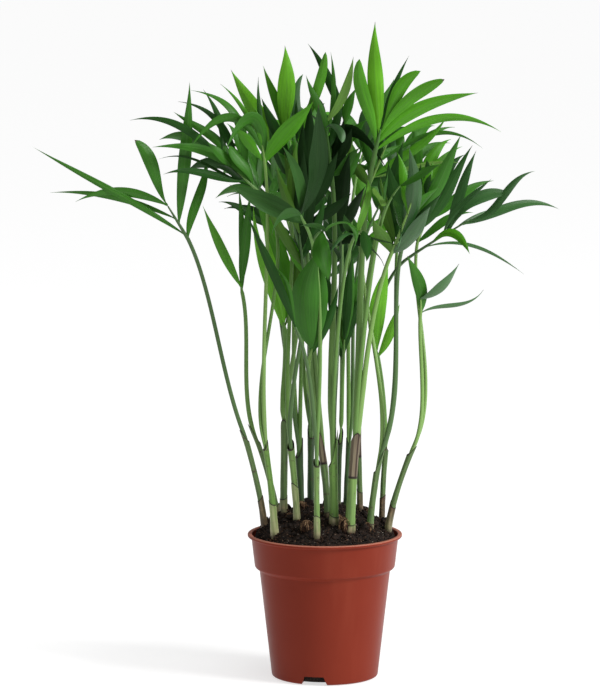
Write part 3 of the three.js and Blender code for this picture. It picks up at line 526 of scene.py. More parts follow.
# How each stem's sheaths have aged: its green, where the outer mouth lies as a share of the stem,
# which way its point stands (0 is +X, 90 is away from the front), how high, and from what share of
# the stem it is dry, then how far up the old sheath reaches, and from its top to the foot how
# faded it is (0 green to 1) and how brown (0 cream to 1 dark brown).
SHEATHS = {
    "01": ["mid", 0.97, 200, 9, 2, 0.36, (0.8, 1.0), (0.95, 0.9)],
    "02": ["bright", 0.98, 10, 6, 2, 0.42, (0.45, 1.0), (0.0, 0.05)],
    "03": ["mid", 1.0, 200, 14, 2, 0.14, (0.6, 0.9), (0.6, 0.7)],
    "04": ["mid", 0.93, 250, 9, 2, 0.22, (0.5, 0.95), (0.4, 0.65)],
    "05": ["light", 0.98, 70, 6, 2, 0.52, (0.5, 0.8), (0.0, 0.1)],
    "06": ["dark", 0.92, 30, 13, 2, 0.1, (0.3, 0.8), (0.4, 0.7)],
    "07": ["dark", 0.98, 100, 12, 0.95, 0.12, (0.4, 0.9), (0.7, 0.9)],
    "08": ["light", 0.8, 100, 5, 2, 0.27, (0.4, 1.0), (0.0, 0.62)],
    "09": ["mid", 0.96, 255, 27, 0.88, 0.18, (0.6, 1.0), (0.8, 0.95)],
    "10": ["bright", 0.78, 0, 26, 2, 0.14, (0.45, 0.9), (0.35, 0.7)],
    "11": ["dark", 0.9, 60, 10, 2, 0.1, (0.4, 0.8), (0.6, 0.8)],
    "12": ["light", 1.03, 285, 9, 0.67, 0.16, (0.5, 0.95), (0.45, 0.8)],
    "13": ["dark", 0.92, 200, 9, 2, 0.1, (0.4, 0.8), (0.6, 0.8)],
    "14": ["mid", 0.95, 10, 10, 0.7, 0.3, (0.8, 0.9), (0.9, 0.9)],
    "15": ["mid", 0.86, 350, 17, 2, 0.14, (0.9, 0.95), (0.6, 0.75)],
    "16": ["mid", 0.97, 200, 7, 2, 0.38, (0.95, 1.0), (1.0, 0.85)],
    "17": ["mid", 0.97, 350, 8, 2, 0.38, (0.95, 1.0), (1.0, 0.45)],
}


def stem_curve(name):
    """The stem's line as a function of its share, straight on beyond its foot and its top."""
    foot_x, foot_y, top_x, top_y, top_z, _, _ = STEMS[name]
    foot = Vector((foot_x, foot_y, soil_height(foot_x, foot_y) - STEM["sink"]))
    top = Vector((top_x, top_y, top_z))
    bend = foot.lerp(top, STEM["bend"])
    bend = bend.lerp(Vector((foot_x, foot_y, bend.z)), STEM["upright"])

    def at(share):
        if share > 1:
            return top + (top - bend) * 2 * (share - 1)
        if share < 0:
            return foot + (bend - foot) * 2 * share
        return foot.lerp(bend, share).lerp(bend.lerp(top, share), share)
    return at


def sheath(shape, name, inks, uv, mouth, rise, bearing, swell, spread, dry, faded, brown):
    """One rolled sheath from the foot up to its slanting mouth and a little way down inside it.
    swell is how far it stands off the stem, and spread how much further at its rim. Its ink tells
    how far each point lies over the dry share, how far below the rim, how brown it is and how
    faded, with the dirt at the foot on top."""
    line = stem_curve(name)
    foot_radius, top_radius = STEMS[name][5:]
    length = (line(1) - line(0)).length
    sway = dice.uniform(0, 50)
    outside = SHEATH["outside"]

    def mouth_at(turn):
        tip = (0.5 + 0.5 * math.cos(turn - math.radians(bearing))) ** 1.6
        return mouth + (rise * (tip - 0.35)) / length

    def place(along, turn):
        top = mouth_at(turn)
        inside = max(0.0, (along - outside) / (1 - outside))
        share = ROOTED + (top - ROOTED) * min(1.0, along / outside) - inside * STEM["turn_in"] / length
        radius = foot_radius + (top_radius - foot_radius) * min(1.0, share)
        radius += foot_radius * STEM["flare"] * max(0.0, 1 - 4 * share)
        radius += spread * max(0.0, 1 - (top - share) * length / STEM["spread"])
        radius += swell - (STEM["wall"] * min(1.0, inside * 6) + 1.2 * inside if inside else 0)
        spot = Vector((math.cos(turn), math.sin(turn), share * 5 + sway))
        radius += 0.05 * math.sin(turn * 17 + sway) + 0.16 * noise.noise(spot)
        if along in (0, 1):
            radius = 0
        centre = line(share)
        heading = (line(share + 0.02) - centre).normalized()
        across = (Vector((1, 0, 0)) - heading * heading.x).normalized()
        return centre + (across * math.cos(turn) + heading.cross(across) * math.sin(turn)) * radius

    for face in tube(shape, SHEATH["sides"], SHEATH["rings"], place, 0, uv):
        for loop in face.loops:
            turn, along = loop[uv].uv
            climb = min(1.0, along / outside)
            top = mouth_at(2 * math.pi * turn)
            share = ROOTED + (top - ROOTED) * climb
            under_rim = 0 if along > outside else (top - share) * length
            climb = max(0.0, share) / top
            dirt = max(0.0, 1 - share * length / STEM["dirt"])
            over_dry = 0.5 + (share - dry) * length / INK_REACH
            browned = brown[1] + (brown[0] - brown[1]) * climb
            loop.vert[inks] = (over_dry, under_rim / INK_REACH, browned,
                               faded[1] + (faded[0] - faded[1]) * climb + 2 * dirt)


def product(tree, first, second):
    """Two shares multiplied."""
    return node(tree, "ShaderNodeMath", {0: first, 1: second}, operation="MULTIPLY").outputs["Value"]


def sheath_skin(name, light, dark):
    """Fibrous sheath skin of one green, which fades to cream or dries to brown, with a dark rim."""
    material, tree, shader = finish(name, 0.42, 0.3)
    ink = node(tree, "ShaderNodeAttribute", attribute_name="Age")
    inks = node(tree, "ShaderNodeSeparateColor", {"Color": ink.outputs["Color"]}).outputs
    wrap = node(tree, "ShaderNodeUVMap", uv_map="Wrap").outputs["UV"]
    place = object_place(tree)
    fibres = patches(tree, stretched(tree, wrap, (34, 2.4, 1)), 1, 3, 0.3, 0.7)
    streaks = patches(tree, stretched(tree, wrap, (9, 1.3, 1)), 1, 2, 0.38, 0.62)
    # Green, cloudy and streaked, with small brown scuffs.
    cloudy = ranged(tree, patches(tree, place, 70, 3, 0.35, 0.65), 0, 1, 0, 0.5)
    green = blend_of(tree, cloudy, blend_of(tree, streaks, dark, light), light)
    green = blend_of(tree, patches(tree, place, 330, 4, 0.6, 0.72), green, (0.07, 0.055, 0.03))
    # Old: cream at first and then dead and brown.
    cream = blend_of(tree, streaks, (0.26, 0.30, 0.12), (0.46, 0.46, 0.25))
    dead = blend_of(tree, streaks, (0.035, 0.016, 0.010), (0.17, 0.10, 0.055))
    dead = blend_of(tree, patches(tree, place, 240, 4, 0.42, 0.6), dead, (0.055, 0.028, 0.017))
    skin = blend_of(tree, ink.outputs["Alpha"], green, blend_of(tree, inks["Blue"], cream, dead))
    # Peat smeared on the foot.
    dirt = ranged(tree, ink.outputs["Alpha"], 1.3, 2.6)
    smear = product(tree, dirt, patches(tree, place, 420, 4, 0.3, 0.55))
    skin = blend_of(tree, smear, skin, (0.04, 0.024, 0.016))
    # Dry and papery above, from a dark ring up.
    papery = blend_of(tree, fibres, (0.11, 0.08, 0.05), (0.30, 0.25, 0.16))
    papery = blend_of(tree, streaks, (0.035, 0.018, 0.011), papery)
    ring = ranged(tree, inks["Red"], 0.5 + 1.3 / INK_REACH, 0.5 + 2.2 / INK_REACH, 1, 0)
    papery = blend_of(tree, ring, papery, (0.018, 0.009, 0.006))
    over_dry = ranged(tree, inks["Red"], 0.5 - 0.4 / INK_REACH, 0.5 + 0.4 / INK_REACH)
    skin = blend_of(tree, over_dry, skin, papery)
    # The thin dark edge of the rim.
    edge = ranged(tree, inks["Green"], 0.65 / INK_REACH, 1.15 / INK_REACH, 1, 0)
    tree.links.new(blend_of(tree, edge, skin, (0.02, 0.011, 0.007)), shader.inputs["Base Color"])
    relief(tree, shader, fibres, 0.0002, 0.5)
    return material


sheath_skins = {
    "light": sheath_skin("sheath light green", (0.175, 0.30, 0.075), (0.095, 0.18, 0.045)),
    "bright": sheath_skin("sheath bright green", (0.14, 0.28, 0.05), (0.07, 0.16, 0.026)),
    "mid": sheath_skin("sheath mid green", (0.115, 0.195, 0.06), (0.05, 0.095, 0.028)),
    "dark": sheath_skin("sheath dark green", (0.045, 0.095, 0.028), (0.02, 0.045, 0.016)),
}
for name in STEMS:
    shape = bmesh.new()
    inks = shape.verts.layers.float_color.new("Age")
    uv = shape.loops.layers.uv.new("Wrap")
    green, mouth, bearing, rise, dry, old_mouth, faded, brown = SHEATHS[name]
    sheath(shape, name, inks, uv, mouth, rise, bearing, 0.0, 0.5, dry, (0, 0), (0.5, 0.5))
    sheath(shape, name, inks, uv, old_mouth, dice.uniform(2, 5), bearing + 150, 0.12, 0.1, 2, faded, brown)
    bmesh.ops.recalc_face_normals(shape, faces=shape.faces)
    piece_of(f"sheaths_{name}", shape, [f"stem_{name}"], [sheath_skins[green]])

# ---- Peat at the stems -----------------------------------------------------------------------
# Crumbs of peat and bark that were left against each stem's foot when the seedlings were set, and
# that hide the seam between the stem and the mound.

# How many lie at each foot, and how far from it they are banked up.
FOOT_CRUMBS = 60
BANK = 1.6
shape = bmesh.new()
for foot_x, foot_y, _, _, _, foot_radius, _ in STEMS.values():
    heap = bmesh.new()
    for _ in range(FOOT_CRUMBS):
        turn, away = dice.uniform(0, 2 * math.pi), abs(dice.gauss(0, 1.4))
        x = foot_x + (1.1 * foot_radius + away) * math.cos(turn)
        y = foot_y + (1.1 * foot_radius + away) * math.sin(turn)
        if math.hypot(x, y) < LOOSE:
            grain = dice.uniform(0.45, 1.2)
            sunk = SUNK - dice.uniform(0, BANK) * max(0.0, 1 - away / BANK)
            crumb(heap, x, y, grain, 0.8, sunk, peat_or_bark())
    poured(shape, heap)
piece_of("peat_at_the_stems", shape, ["soil"], [peat, bark], crease=60)

# ---- Fronds ----------------------------------------------------------------------------------
# A frond is a slim leaf stalk that goes on as the rib, with lance-shaped leaflets in two rows
# along it. They grow by the part's own rule, and each turns as its solid does where it found room.

# The crown is where the leaflets begin and the end is the rib's, face is its upper side, and bow
# bends the stalk aside. Each leaflet has its place on the rib, its angle from it, its length, lift
# and width, then as shares of its length its arch, its sweep and its two hooks, and its tone. A
# frond without a list carries pairs of leaflets by the rule.
FRONDS = {
    "01a": {
        "crown": (-105, -22, 344), "end": (-121, -26, 371), "face": (-0.2, -0.8, 0.55), "bow": (-4, 0),
        "leaves": [
            [0.1, -28, 135, -3, 5, 0.01, 0, -0.003, -0.001, "mid"],
            [0.6, -48, 100, -22, 4.7, 0.06, 0.02, 0.001, 0.001, "mid"],
            [1, -56, 70, -5, 7, 0.12, 0.04, 0.004, 0.002, "mid"],
            [0, 45, 67, -10, 7.8, -0.01, 0.03, -0.003, 0.021, "mid"],
            [0.45, 35, 110, 4, 9.3, 0, 0.01, 0, 0.002, "mid"],
            [1, 5, 56, -2, 10.1, 0.04, 0.03, 0.021, 0.012, "mid blunt"],
        ],
    },
    "02a": {
        "crown": (-46, -36, 403), "end": (-48, -38, 418), "face": (0.1, -0.85, 0.5),
        "leaves": [
            [0, 42, 63, 17, 12.4, 0.02, 0, -0.011, 0.002, "bright"],
            [0.2, -66, 37, 21, 9.3, 0.74, 0.23, -0.033, 0.019, "mid"],
            [0.6, -78, 57, -1, 7, 0.41, 0.15, -0.016, 0.002, "mid"],
            [0, -31, 34, 1, 7.8, 0, 0.01, 0.001, 0, "bright blunt"],
            [1, 7, 51, -11, 3.5, 0, -0.01, -0.002, -0.006, "dark"],
            [1, -26, 56, -6, 3.5, 0.05, 0.03, 0.007, 0.001, "bright"],
            [0.9, -3, 30, -4, 6.2, 0.06, 0, 0, 0, "bright"],
        ],
    },
    "02b": {
        "crown": (-49, -30, 379), "end": (-94, -34, 419), "face": (-0.1, -0.8, 0.6),
        "leaves": [
            [0, -18, 91, -3, 8.5, 0.15, 0.04, -0.001, -0.001, "mid"],
            [0.25, -37, 66, -3, 6.2, 0.05, 0.01, 0.019, 0.009, "dark"],
            [0.15, -22, 75, -15, 2.3, 0.08, 0.02, 0.029, 0.008, "dark"],
            [0.6, -16, 81, -7, 5.8, 0.13, 0.04, 0.014, 0.005, "dark"],
            [0.5, 1, 63, -11, 7, 0.1, 0.03, -0.021, -0.008, "mid"],
            [0.4, 13, 72, -9, 6.6, 0.17, 0.08, 0.015, 0.002, "dark"],
            [0.3, 17, 78, 5, 8.1, 0.22, 0.1, 0.018, 0.009, "mid"],
            [0.7, 39, 56, -6, 5.8, 0.07, 0.09, -0.003, -0.005, "dark"],
            [0.3, -25, 27, 11, 4.7, 0.05, 0, 0.033, 0.017, "deep"],
            [0.15, 12, 37, 17, 10.1, 0.07, 0.01, -0.019, 0.004, "mid blunt"],
            [0.05, 35, 42, 0, 9.3, -0.01, -0.01, -0.003, -0.005, "mid"],
            [0.5, -4, 31, 20, 7, 0.02, 0, -0.002, 0.009, "mid"],
        ],
    },
    "03a": {
        "crown": (-64, 14, 298), "end": (-65, 14, 303), "face": (-0.2, -0.8, 0.5),
        "leaves": [
            [1, -12, 71, 10, 7.4, -0.01, -0.02, -0.001, 0.002, "bright"],
            [1, 17, 73, 0, 7.8, 0, 0, 0, 0.001, "mid"],
            [0.2, 9, 82, -5, 5.4, 0, 0.02, 0, 0, "mid"],
        ],
    },
    "04a": {
        "crown": (-31, 12, 268), "end": (-32, 10, 276), "face": (-0.2, -0.9, 0.4),
        "leaves": [
            [0, -8, 103, -7, 7.4, -0.02, -0.03, -0.003, -0.005, "lime"],
            [1, -2, 104, -13, 13.2, 0.01, 0.07, -0.002, -0.012, "bright"],
            [0.6, -4, 86, -2, 6.2, 0.02, 0, -0.006, -0.006, "lime"],
            [0.5, 6, 106, -17, 7.4, -0.02, 0.07, 0.003, -0.012, "olive"],
            [0.8, -2, 87, -22, 7.8, 0, 0.03, 0, -0.004, "bright"],
            [1, 12, 74, -24, 7, -0.01, 0.01, 0, 0.002, "bright"],
        ],
    },
    "05a": {
        "crown": (-27, 6, 379), "end": (-32, 0, 429), "face": (-0.1, -0.9, 0.4),
        "leaves": [
            [0.5, -25, 83, 6, 12.8, -0.01, 0, -0.001, -0.002, "lime"],
            [1, 6, 63, -9, 13.2, 0, 0.03, -0.001, 0.004, "lime"],
            [0.8, -12, 60, -15, 7, 0.02, 0.03, -0.004, -0.01, "bright"],
            [0.4, -14, 58, 7, 8.5, 0.02, 0.01, -0.01, 0, "dark"],
            [0.2, 13, 80, -13, 7.4, 0, 0.03, 0.017, -0.039, "grey blunt"],
            [0, 9, 47, 7, 7.8, -0.05, 0.07, 0.001, -0.011, "olive"],
            [0.1, -13, 48, 10, 8.5, 0, 0.01, -0.01, -0.003, "dark"],
            [0.1, -30, 23, 43, 7.8, -0.06, -0.02, 0.02, 0.009, "mid"],
        ],
    },
    "12a": {
        "crown": (38, -30, 412), "end": (42, -32, 429), "face": (0.1, -0.8, 0.5),
        "leaves": [
            [0, -23, 72, 3, 10.1, -0.01, -0.01, -0.015, -0.016, "bright blunt"],
            [0.8, -16, 85, -9, 11.6, 0, -0.02, 0, -0.002, "lime"],
            [0, 70, 98, -12, 7, 0.16, -0.06, 0.01, -0.002, "bright"],
            [0.3, 50, 86, -6, 9.7, 0.1, -0.04, -0.006, 0.003, "bright"],
            [0.6, 34, 68, 4, 9.3, 0.08, -0.04, -0.002, 0.001, "bright blunt"],
            [0.85, 20, 56, -4, 9.3, 0.07, -0.04, 0.024, -0.014, "bright blunt"],
            [1, 8, 60, -16, 4.3, 0.03, -0.02, -0.003, -0.003, "dark"],
            [0.95, 2, 45, -36, 7, 0.04, -0.05, -0.003, 0.012, "mid"],
        ],
    },
    "14a": {
        "crown": (62, 10, 324), "end": (113, 0, 357), "face": (0.2, -0.75, 0.65), "bow": (5, 0),
        "leaves": [
            [0.6, -9, 62, 19, 5, 0.07, -0.05, -0.014, 0.007, "grey"],
            [0.7, -1, 55, 2, 10.1, 0.18, -0.05, 0.002, 0, "grey blunt"],
            [1, -2, 65, 7, 7, -0.01, 0.01, 0.042, -0.001, "grey"],
            [0.9, 18, 75, -16, 7.4, 0.1, -0.03, 0.023, -0.007, "grey"],
            [0.3, 40, 80, -30, 2.7, 0.13, -0.04, -0.01, 0.003, "grey"],
            [0.45, 52, 38, 11, 6.6, 0.23, -0.16, -0.038, 0.004, "bright"],
            [0.65, -36, 68, 14, 9.3, 0.01, -0.01, 0.004, -0.002, "grey"],
            [0.8, -10, 44, -36, 3.9, 0.06, 0, 0, 0, "grey"],
        ],
    },
    "15a": {
        "crown": (59, -30, 340), "end": (78, -36, 382), "face": (0.3, -0.85, 0.45), "bow": (9, 0),
        "leaves": [
            [0, -24, 80, -5, 13.2, -0.01, -0.09, 0, 0.009, "dark"],
            [0.5, 3, 75, 2, 9.7, -0.03, 0.02, 0.009, -0.005, "mid"],
            [0.2, 11, 85, -1, 8.9, -0.06, 0.03, 0.017, -0.008, "dark"],
            [0.7, -5, 40, -30, 6.6, 0.01, 0, -0.002, 0.006, "bright"],
            [1, 24, 27, -17, 6.2, 0.06, 0, 0, 0, "grey"],
            [0.1, 7, 54, 24, 8.5, 0, 0.01, 0.002, -0.006, "dark"],
            [0.1, -12, 60, -12, 9.3, -0.01, 0.02, -0.002, 0.004, "dark"],
        ],
    },
    "16a": {
        "crown": (41, 8, 249), "end": (40, 8, 254), "face": (0, -0.9, 0.4),
        "leaves": [
            [1, 18, 71, 8, 13.2, 0.02, -0.04, -0.003, 0.003, "lime"],
            [0, 32, 46, 13, 7, -0.03, 0.02, 0.005, -0.005, "lime"],
        ],
    },
    "17a": {
        "crown": (73, -18, 286), "end": (73, -22, 298), "face": (0.3, -0.8, 0.5),
        "leaves": [
            [0, -15, 48, -11, 9.7, 0.09, 0.02, -0.012, 0, "mid"],
            [0, 73, 52, 13, 3.9, -0.06, 0.02, -0.034, 0.014, "grey"],
            [1, 42, 41, 17, 8.9, -0.09, 0.04, 0.006, -0.006, "grey"],
        ],
    },
    "08a": {
        "crown": (-21, -66, 277), "end": (-23, -67, 282), "face": (-0.2, -0.8, 0.5),
        "leaves": [
            [1, -1, 94, -5, 7, 0.01, 0, -0.002, -0.001, "dark"],
            [0.6, -5, 58, -7, 3.1, 0.12, 0.09, 0.025, 0.019, "mid"],
        ],
    },
    "08b": {
        "crown": (-12, -46, 255), "end": (-10, -48, 263), "face": (0.1, -0.9, 0.4),
        "leaves": [
            [1, -9, 79, -3, 20.9, 0.06, -0.1, -0.001, -0.001, "mid"],
            [0.6, -2, 73, -12, 13.2, -0.01, 0.02, -0.003, 0.003, "mid"],
            [0.3, 8, 58, -18, 6.2, -0.03, 0.04, -0.002, 0.002, "dark"],
        ],
    },
    "10a": {
        "crown": (5, -10, 391), "end": (0, -14, 434), "face": (0, -0.9, 0.4),
        "leaves": [
            [1, 29, 55, 3, 7, -0.06, 0.06, 0.003, -0.006, "pale"],
            [0.8, 10, 62, -10, 3.9, 0, 0.06, 0.001, -0.002, "mid"],
            [0.7, -12, 52, 1, 6.2, 0.02, 0.02, -0.011, -0.007, "mid"],
            [0.5, 21, 51, -17, 6.2, -0.01, 0.02, 0.007, -0.003, "dark"],
            [0.9, 131, 33, 69, 6.2, 0.16, -0.06, -0.011, -0.028, "grey blunt"],
            [0.3, 37, 33, 22, 7, -0.14, -0.03, 0.024, -0.012, "deep"],
            [0, 48, 33, 20, 7.8, -0.04, -0.01, 0.023, -0.01, "mid"],
        ],
    },
    "15b": {
        "crown": (34, 18, 381), "end": (48, 12, 415), "face": (0.2, -0.8, 0.5),
        "leaves": [
            [0.2, 27, 75, -1, 7, -0.05, 0.02, -0.013, 0.005, "bright"],
            [0.6, 61, 80, -5, 3.9, 0.18, -0.07, 0.02, -0.007, "mid"],
            [0.2, 58, 71, 0, 3.5, 0.04, -0.02, 0.012, -0.007, "pale"],
            [0.3, -48, 35, -14, 7, 0.06, 0, 0, 0, "mid"],
            [1, 22, 19, 16, 5.4, 0.06, 0, 0, 0, "mid"],
            [0.7, -36, 35, -12, 7, 0.06, 0, 0, 0, "dark"],
            [0, -52, 27, 12, 7.8, -0.02, -0.01, -0.004, -0.001, "olive"],
            [0, 31, 24, -22, 7.8, -0.03, 0.04, 0.019, -0.007, "dark"],
        ],
    },
    "12b": {
        "crown": (50, -44, 335), "end": (66, -54, 378), "face": (0.3, -0.8, 0.5),
        "leaves": [
            [0.3, -14, 73, -1, 12, -0.06, 0.09, 0.002, -0.002, "gloss"],
            [0, 12, 55, 19, 11.6, -0.06, -0.01, 0.015, -0.006, "gloss"],
            [0.2, -32, 52, -23, 7.8, -0.02, -0.04, 0.003, 0.002, "olive"],
            [0.9, -33, 42, -28, 7, 0.01, 0, 0.003, 0.017, "bright"],
            [0.6, 29, 38, -14, 7.8, 0.06, 0, 0, 0, "mid"],
            [0.5, -31, 50, -13, 9.3, 0, 0, -0.005, -0.009, "dark"],
            [0, -44, 41, 14, 9.3, -0.01, 0.02, -0.017, 0.001, "olive"],
        ],
    },
    "04b": {
        "crown": (-15, -5, 372), "end": (-21, -10, 420), "face": (-0.1, -0.9, 0.3),
        "leaves": [
            [1, 24, 72, 1, 7.4, -0.03, 0.02, -0.006, 0.002, "bright blunt"],
            [0.5, -4, 55, -13, 7, 0.01, 0.01, -0.004, -0.017, "dark"],
            [0.2, -25, 42, 23, 7.8, 0.01, -0.03, 0.004, 0.02, "mid"],
            [0.8, 19, 45, -25, 7, 0.06, 0, 0, 0, "dark"],
            [0, 34, 34, -16, 7, -0.07, 0.06, 0.006, -0.002, "deep"],
            [0, -17, 37, 13, 8.5, -0.05, -0.02, 0.003, 0.005, "olive"],
        ],
    },
    "05b": {
        "crown": (-16, -40, 318), "end": (-20, -46, 352), "face": (-0.1, -0.9, 0.3),
        "leaves": [
            [0.2, -22, 67, -6, 7, -0.02, -0.02, 0, 0.001, "olive"],
            [1, 4, 70, -15, 9.3, 0, -0.05, 0.001, 0.005, "olive"],
            [0.6, 13, 77, -22, 9.3, 0, 0.03, 0, -0.001, "deep"],
            [1, -12, 55, -3, 7, -0.01, -0.01, -0.002, -0.003, "olive"],
            [0.4, 26, 51, -15, 7, -0.03, 0.04, 0, 0.001, "dark"],
            [0.8, 8, 71, -10, 10.1, 0, 0, -0.001, 0.005, "deep"],
            [0, -20, 44, -21, 7.8, -0.01, -0.01, 0, -0.001, "bright"],
        ],
    },
    "09a": {
        "crown": (-6, -66, 352), "end": (0, -92, 357), "face": (0, -0.5, 0.85),
        "leaves": [
            [0.6, 17, 60, -40, 13.2, 0.02, 0.04, -0.008, -0.012, "mid"],
            [1, -11, 45, -26, 7, 0.31, -0.12, 0.009, -0.051, "mid"],
            [0.3, -109, 28, -63, 7.8, 0.09, 0.01, 0.025, 0.009, "deep"],
            [1, 33, 53, 5, 7, 0.06, 0, 0, 0, "dark"],
        ],
    },
    "09b": {
        "crown": (-14, -34, 352), "end": (-14, -42, 380), "face": (0, -0.9, 0.3),
        "leaves": [
            [1, -3, 56, -24, 10.1, 0, -0.01, -0.002, -0.012, "deep"],
            [1, 13, 54, -5, 11.6, -0.02, 0.01, -0.004, 0.003, "deep"],
            [0.5, 29, 53, -23, 10.1, -0.02, 0.03, -0.001, -0.001, "deep"],
            [0.2, 56, 41, 2, 8.5, -0.07, 0.01, 0.001, -0.003, "deep"],
            [0, -18, 62, -26, 9.3, 0.01, 0, -0.007, -0.01, "olive"],
            [0.6, -13, 65, -33, 7.8, 0.02, 0.01, -0.002, 0.001, "mid"],
            [0.8, 2, 78, -2, 10.8, -0.01, 0, 0.001, -0.001, "deep"],
            [0.4, -56, 36, 8, 7.8, 0.09, 0.04, -0.003, -0.001, "mid"],
        ],
    },
    "10b": {
        "crown": (22, -66, 350), "end": (28, -100, 358), "face": (0.2, -0.6, 0.75),
        "leaves": [
            [0, 31, 50, -25, 5.8, 0.14, 0, -0.017, 0.013, "grey"],
            [0.4, 1, 42, 74, 7, -0.04, -0.03, -0.02, -0.016, "bright"],
            [1, -63, 30, -20, 7, -0.03, 0.02, 0.026, -0.01, "deep"],
            [0.6, -69, 32, -49, 7, 0.02, 0.02, 0.02, -0.01, "deep"],
            [1, 4, 56, -32, 7.8, 0.03, -0.02, -0.01, -0.007, "dark"],
            [0.2, 40, 25, 27, 7.8, -0.05, 0.04, 0.014, -0.004, "dark"],
        ],
    },
    "10c": {
        "crown": (12, 12, 336), "end": (10, 10, 374), "face": (0.1, -0.9, 0.3),
        "leaves": [
            [1, 54, 58, 54, 12.4, 0.7, -0.01, 0.073, -0.072, "deep"],
            [0.6, 14, 64, -11, 7.8, 0, 0.01, 0, 0.003, "olive"],
            [1, 28, 44, 3, 7, 0.01, -0.01, -0.009, 0.007, "mid"],
            [0.2, 25, 49, 26, 9.3, 0.01, -0.02, 0.002, 0.002, "deep"],
            [0.5, -8, 64, -4, 7.8, 0.06, 0, 0, 0, "deep"],
            [0, 97, 31, 43, 8.5, 0.15, -0.09, -0.015, -0.003, "deep"],
            [0, -92, 24, 41, 8.5, 0.06, 0, 0, 0, "deep"],
            [0.8, 3, 77, 29, 11.6, 0.02, 0.03, 0.002, -0.008, "deep"],
            [0.3, -7, 75, 25, 10.8, 0.01, 0.02, 0, 0, "deep"],
            [0, -11, 45, 14, 9.3, -0.02, 0.01, -0.009, 0.001, "dark"],
        ],
    },
    "12c": {
        "crown": (44, -64, 368), "end": (56, -96, 392), "face": (0.2, -0.75, 0.6),
        "leaves": [
            [0, -31, 52, 19, 9.3, 0.03, 0.02, -0.005, -0.001, "dark"],
            [0.3, 14, 20, 54, 9.3, -0.1, 0.01, 0.041, 0.011, "olive blunt"],
            [1, 0, 47, -21, 7.8, 0.02, -0.01, 0.006, -0.007, "mid"],
            [0.6, 67, 69, -13, 11.6, 0.01, -0.05, -0.003, -0.014, "gloss"],
            [1, 55, 54, -11, 7, 0.06, 0, 0, 0, "bright blunt"],
            [0, -45, 27, 34, 7.8, 0.03, 0.02, 0.015, 0.009, "dark"],
        ],
    },
    "08c": {
        "crown": (-15, -72, 359), "end": (-19, -86, 369), "face": (-0.3, -0.7, 0.6),
        "leaves": [
            [0.2, 27, 66, 42, 14, 0.01, -0.01, -0.004, 0.001, "dark"],
            [1, -52, 84, 18, 18.6, -0.05, -0.04, 0.008, 0.005, "deep"],
            [0.6, -15, 71, 14, 8.5, 0.02, -0.07, -0.001, -0.003, "dark"],
            [1, 45, 52, -17, 7.8, 0.16, -0.02, 0.01, 0.007, "dark"],
        ],
    },
    "06a": {"crown": (-26, 74, 338), "end": (-40, 114, 372), "pairs": 4, "reach": 72},
    "06b": {"crown": (-24, 44, 390), "end": (-28, 60, 416), "pairs": 3, "reach": 50},
    "06c": {"crown": (-44, 60, 345), "end": (-56, 100, 386), "pairs": 4, "reach": 62},
    "07a": {"crown": (-18, 100, 345), "end": (-28, 146, 382), "pairs": 4, "reach": 84},
    "07b": {"crown": (4, 110, 300), "end": (8, 158, 322), "pairs": 4, "reach": 88},
    "07c": {"crown": (-10, 74, 388), "end": (-12, 104, 412), "pairs": 4, "reach": 64},
    "11a": {
        "crown": (14, 40, 384), "end": (16, 52, 432), "face": (0, -0.8, 0.5),
        "leaves": [
            [1, -31, 70, 31, 7, 0.03, -0.01, 0.007, 0.007, "dark"],
            [0.9, 16, 31, 24, 7, 0.06, 0, 0, 0, "mid"],
            [0.5, 37, 29, 19, 7.8, 0.06, 0, 0, 0, "mid"],
            [0.4, -28, 39, 3, 7.8, 0.06, 0, 0, 0, "dark"],
            [0.1, 80, 23, 18, 7.8, 0.06, 0, 0, 0, "mid"],
            [0.1, -77, 21, 18, 7.8, 0.06, 0, 0, 0, "olive"],
        ],
    },
    "11b": {
        "crown": (14, 6, 244), "end": (15, 2, 264), "face": (0, -0.9, 0.3),
        "leaves": [
            [0, -8, 79, -12, 7, 0, 0, 0.001, 0.004, "dark"],
            [0.2, 2, 83, -7, 7, 0, 0.01, -0.001, 0.004, "mid"],
            [1, -4, 67, -3, 7, 0, -0.01, 0, -0.003, "dark"],
            [1, 10, 61, -19, 6.2, 0, 0, -0.003, 0.007, "mid"],
            [0.6, -18, 48, -7, 5.4, 0.06, 0, 0, 0, "olive"],
            [0.4, 19, 58, -11, 6.2, 0, 0, -0.005, 0.005, "dark"],
            [0.5, -16, 65, -4, 6.2, 0, 0, -0.003, -0.003, "mid"],
        ],
    },
    "13a": {"crown": (32, 106, 330), "end": (50, 150, 362), "pairs": 4, "reach": 86},
    "13b": {"crown": (26, 84, 385), "end": (34, 118, 406), "pairs": 4, "reach": 66},
    "14b": {"crown": (46, 68, 360), "end": (60, 108, 394), "pairs": 4, "reach": 68},
    "16b": {"crown": (58, 44, 345), "end": (74, 76, 378), "bow": (8, 0), "pairs": 3, "reach": 64},
    "17b": {"crown": (72, 30, 336), "end": (88, 54, 368), "bow": (3, 0), "pairs": 3, "reach": 60},
}
# How the pairs open from the crown to the tip, and how far each leaflet strays from that.
RULE = {"crown_angle": 44, "tip_angle": 15, "angle_sway": 7, "lift": -4, "lift_sway": 9,
        "length_sway": 0.08}
# A leaflet's width for its length, its least and most, its keel, its arch and its roll.
LEAF = {"slim": 0.13, "broad": 0.19, "least": 7, "most": 12, "most_tip": 14, "fold": 0.16,
        "arch": 0.09, "arch_sway": 0.04, "roll": 14, "roll_sway": 12}
RIB = {"rise": 0.06, "last_seat": 0.96, "skyward": 0.6, "arch_lean": 0.35}
STALK = {"gap": 0.3, "seat": 2.1, "pull": 0.3, "foot": 1.6, "crown": 1.2}
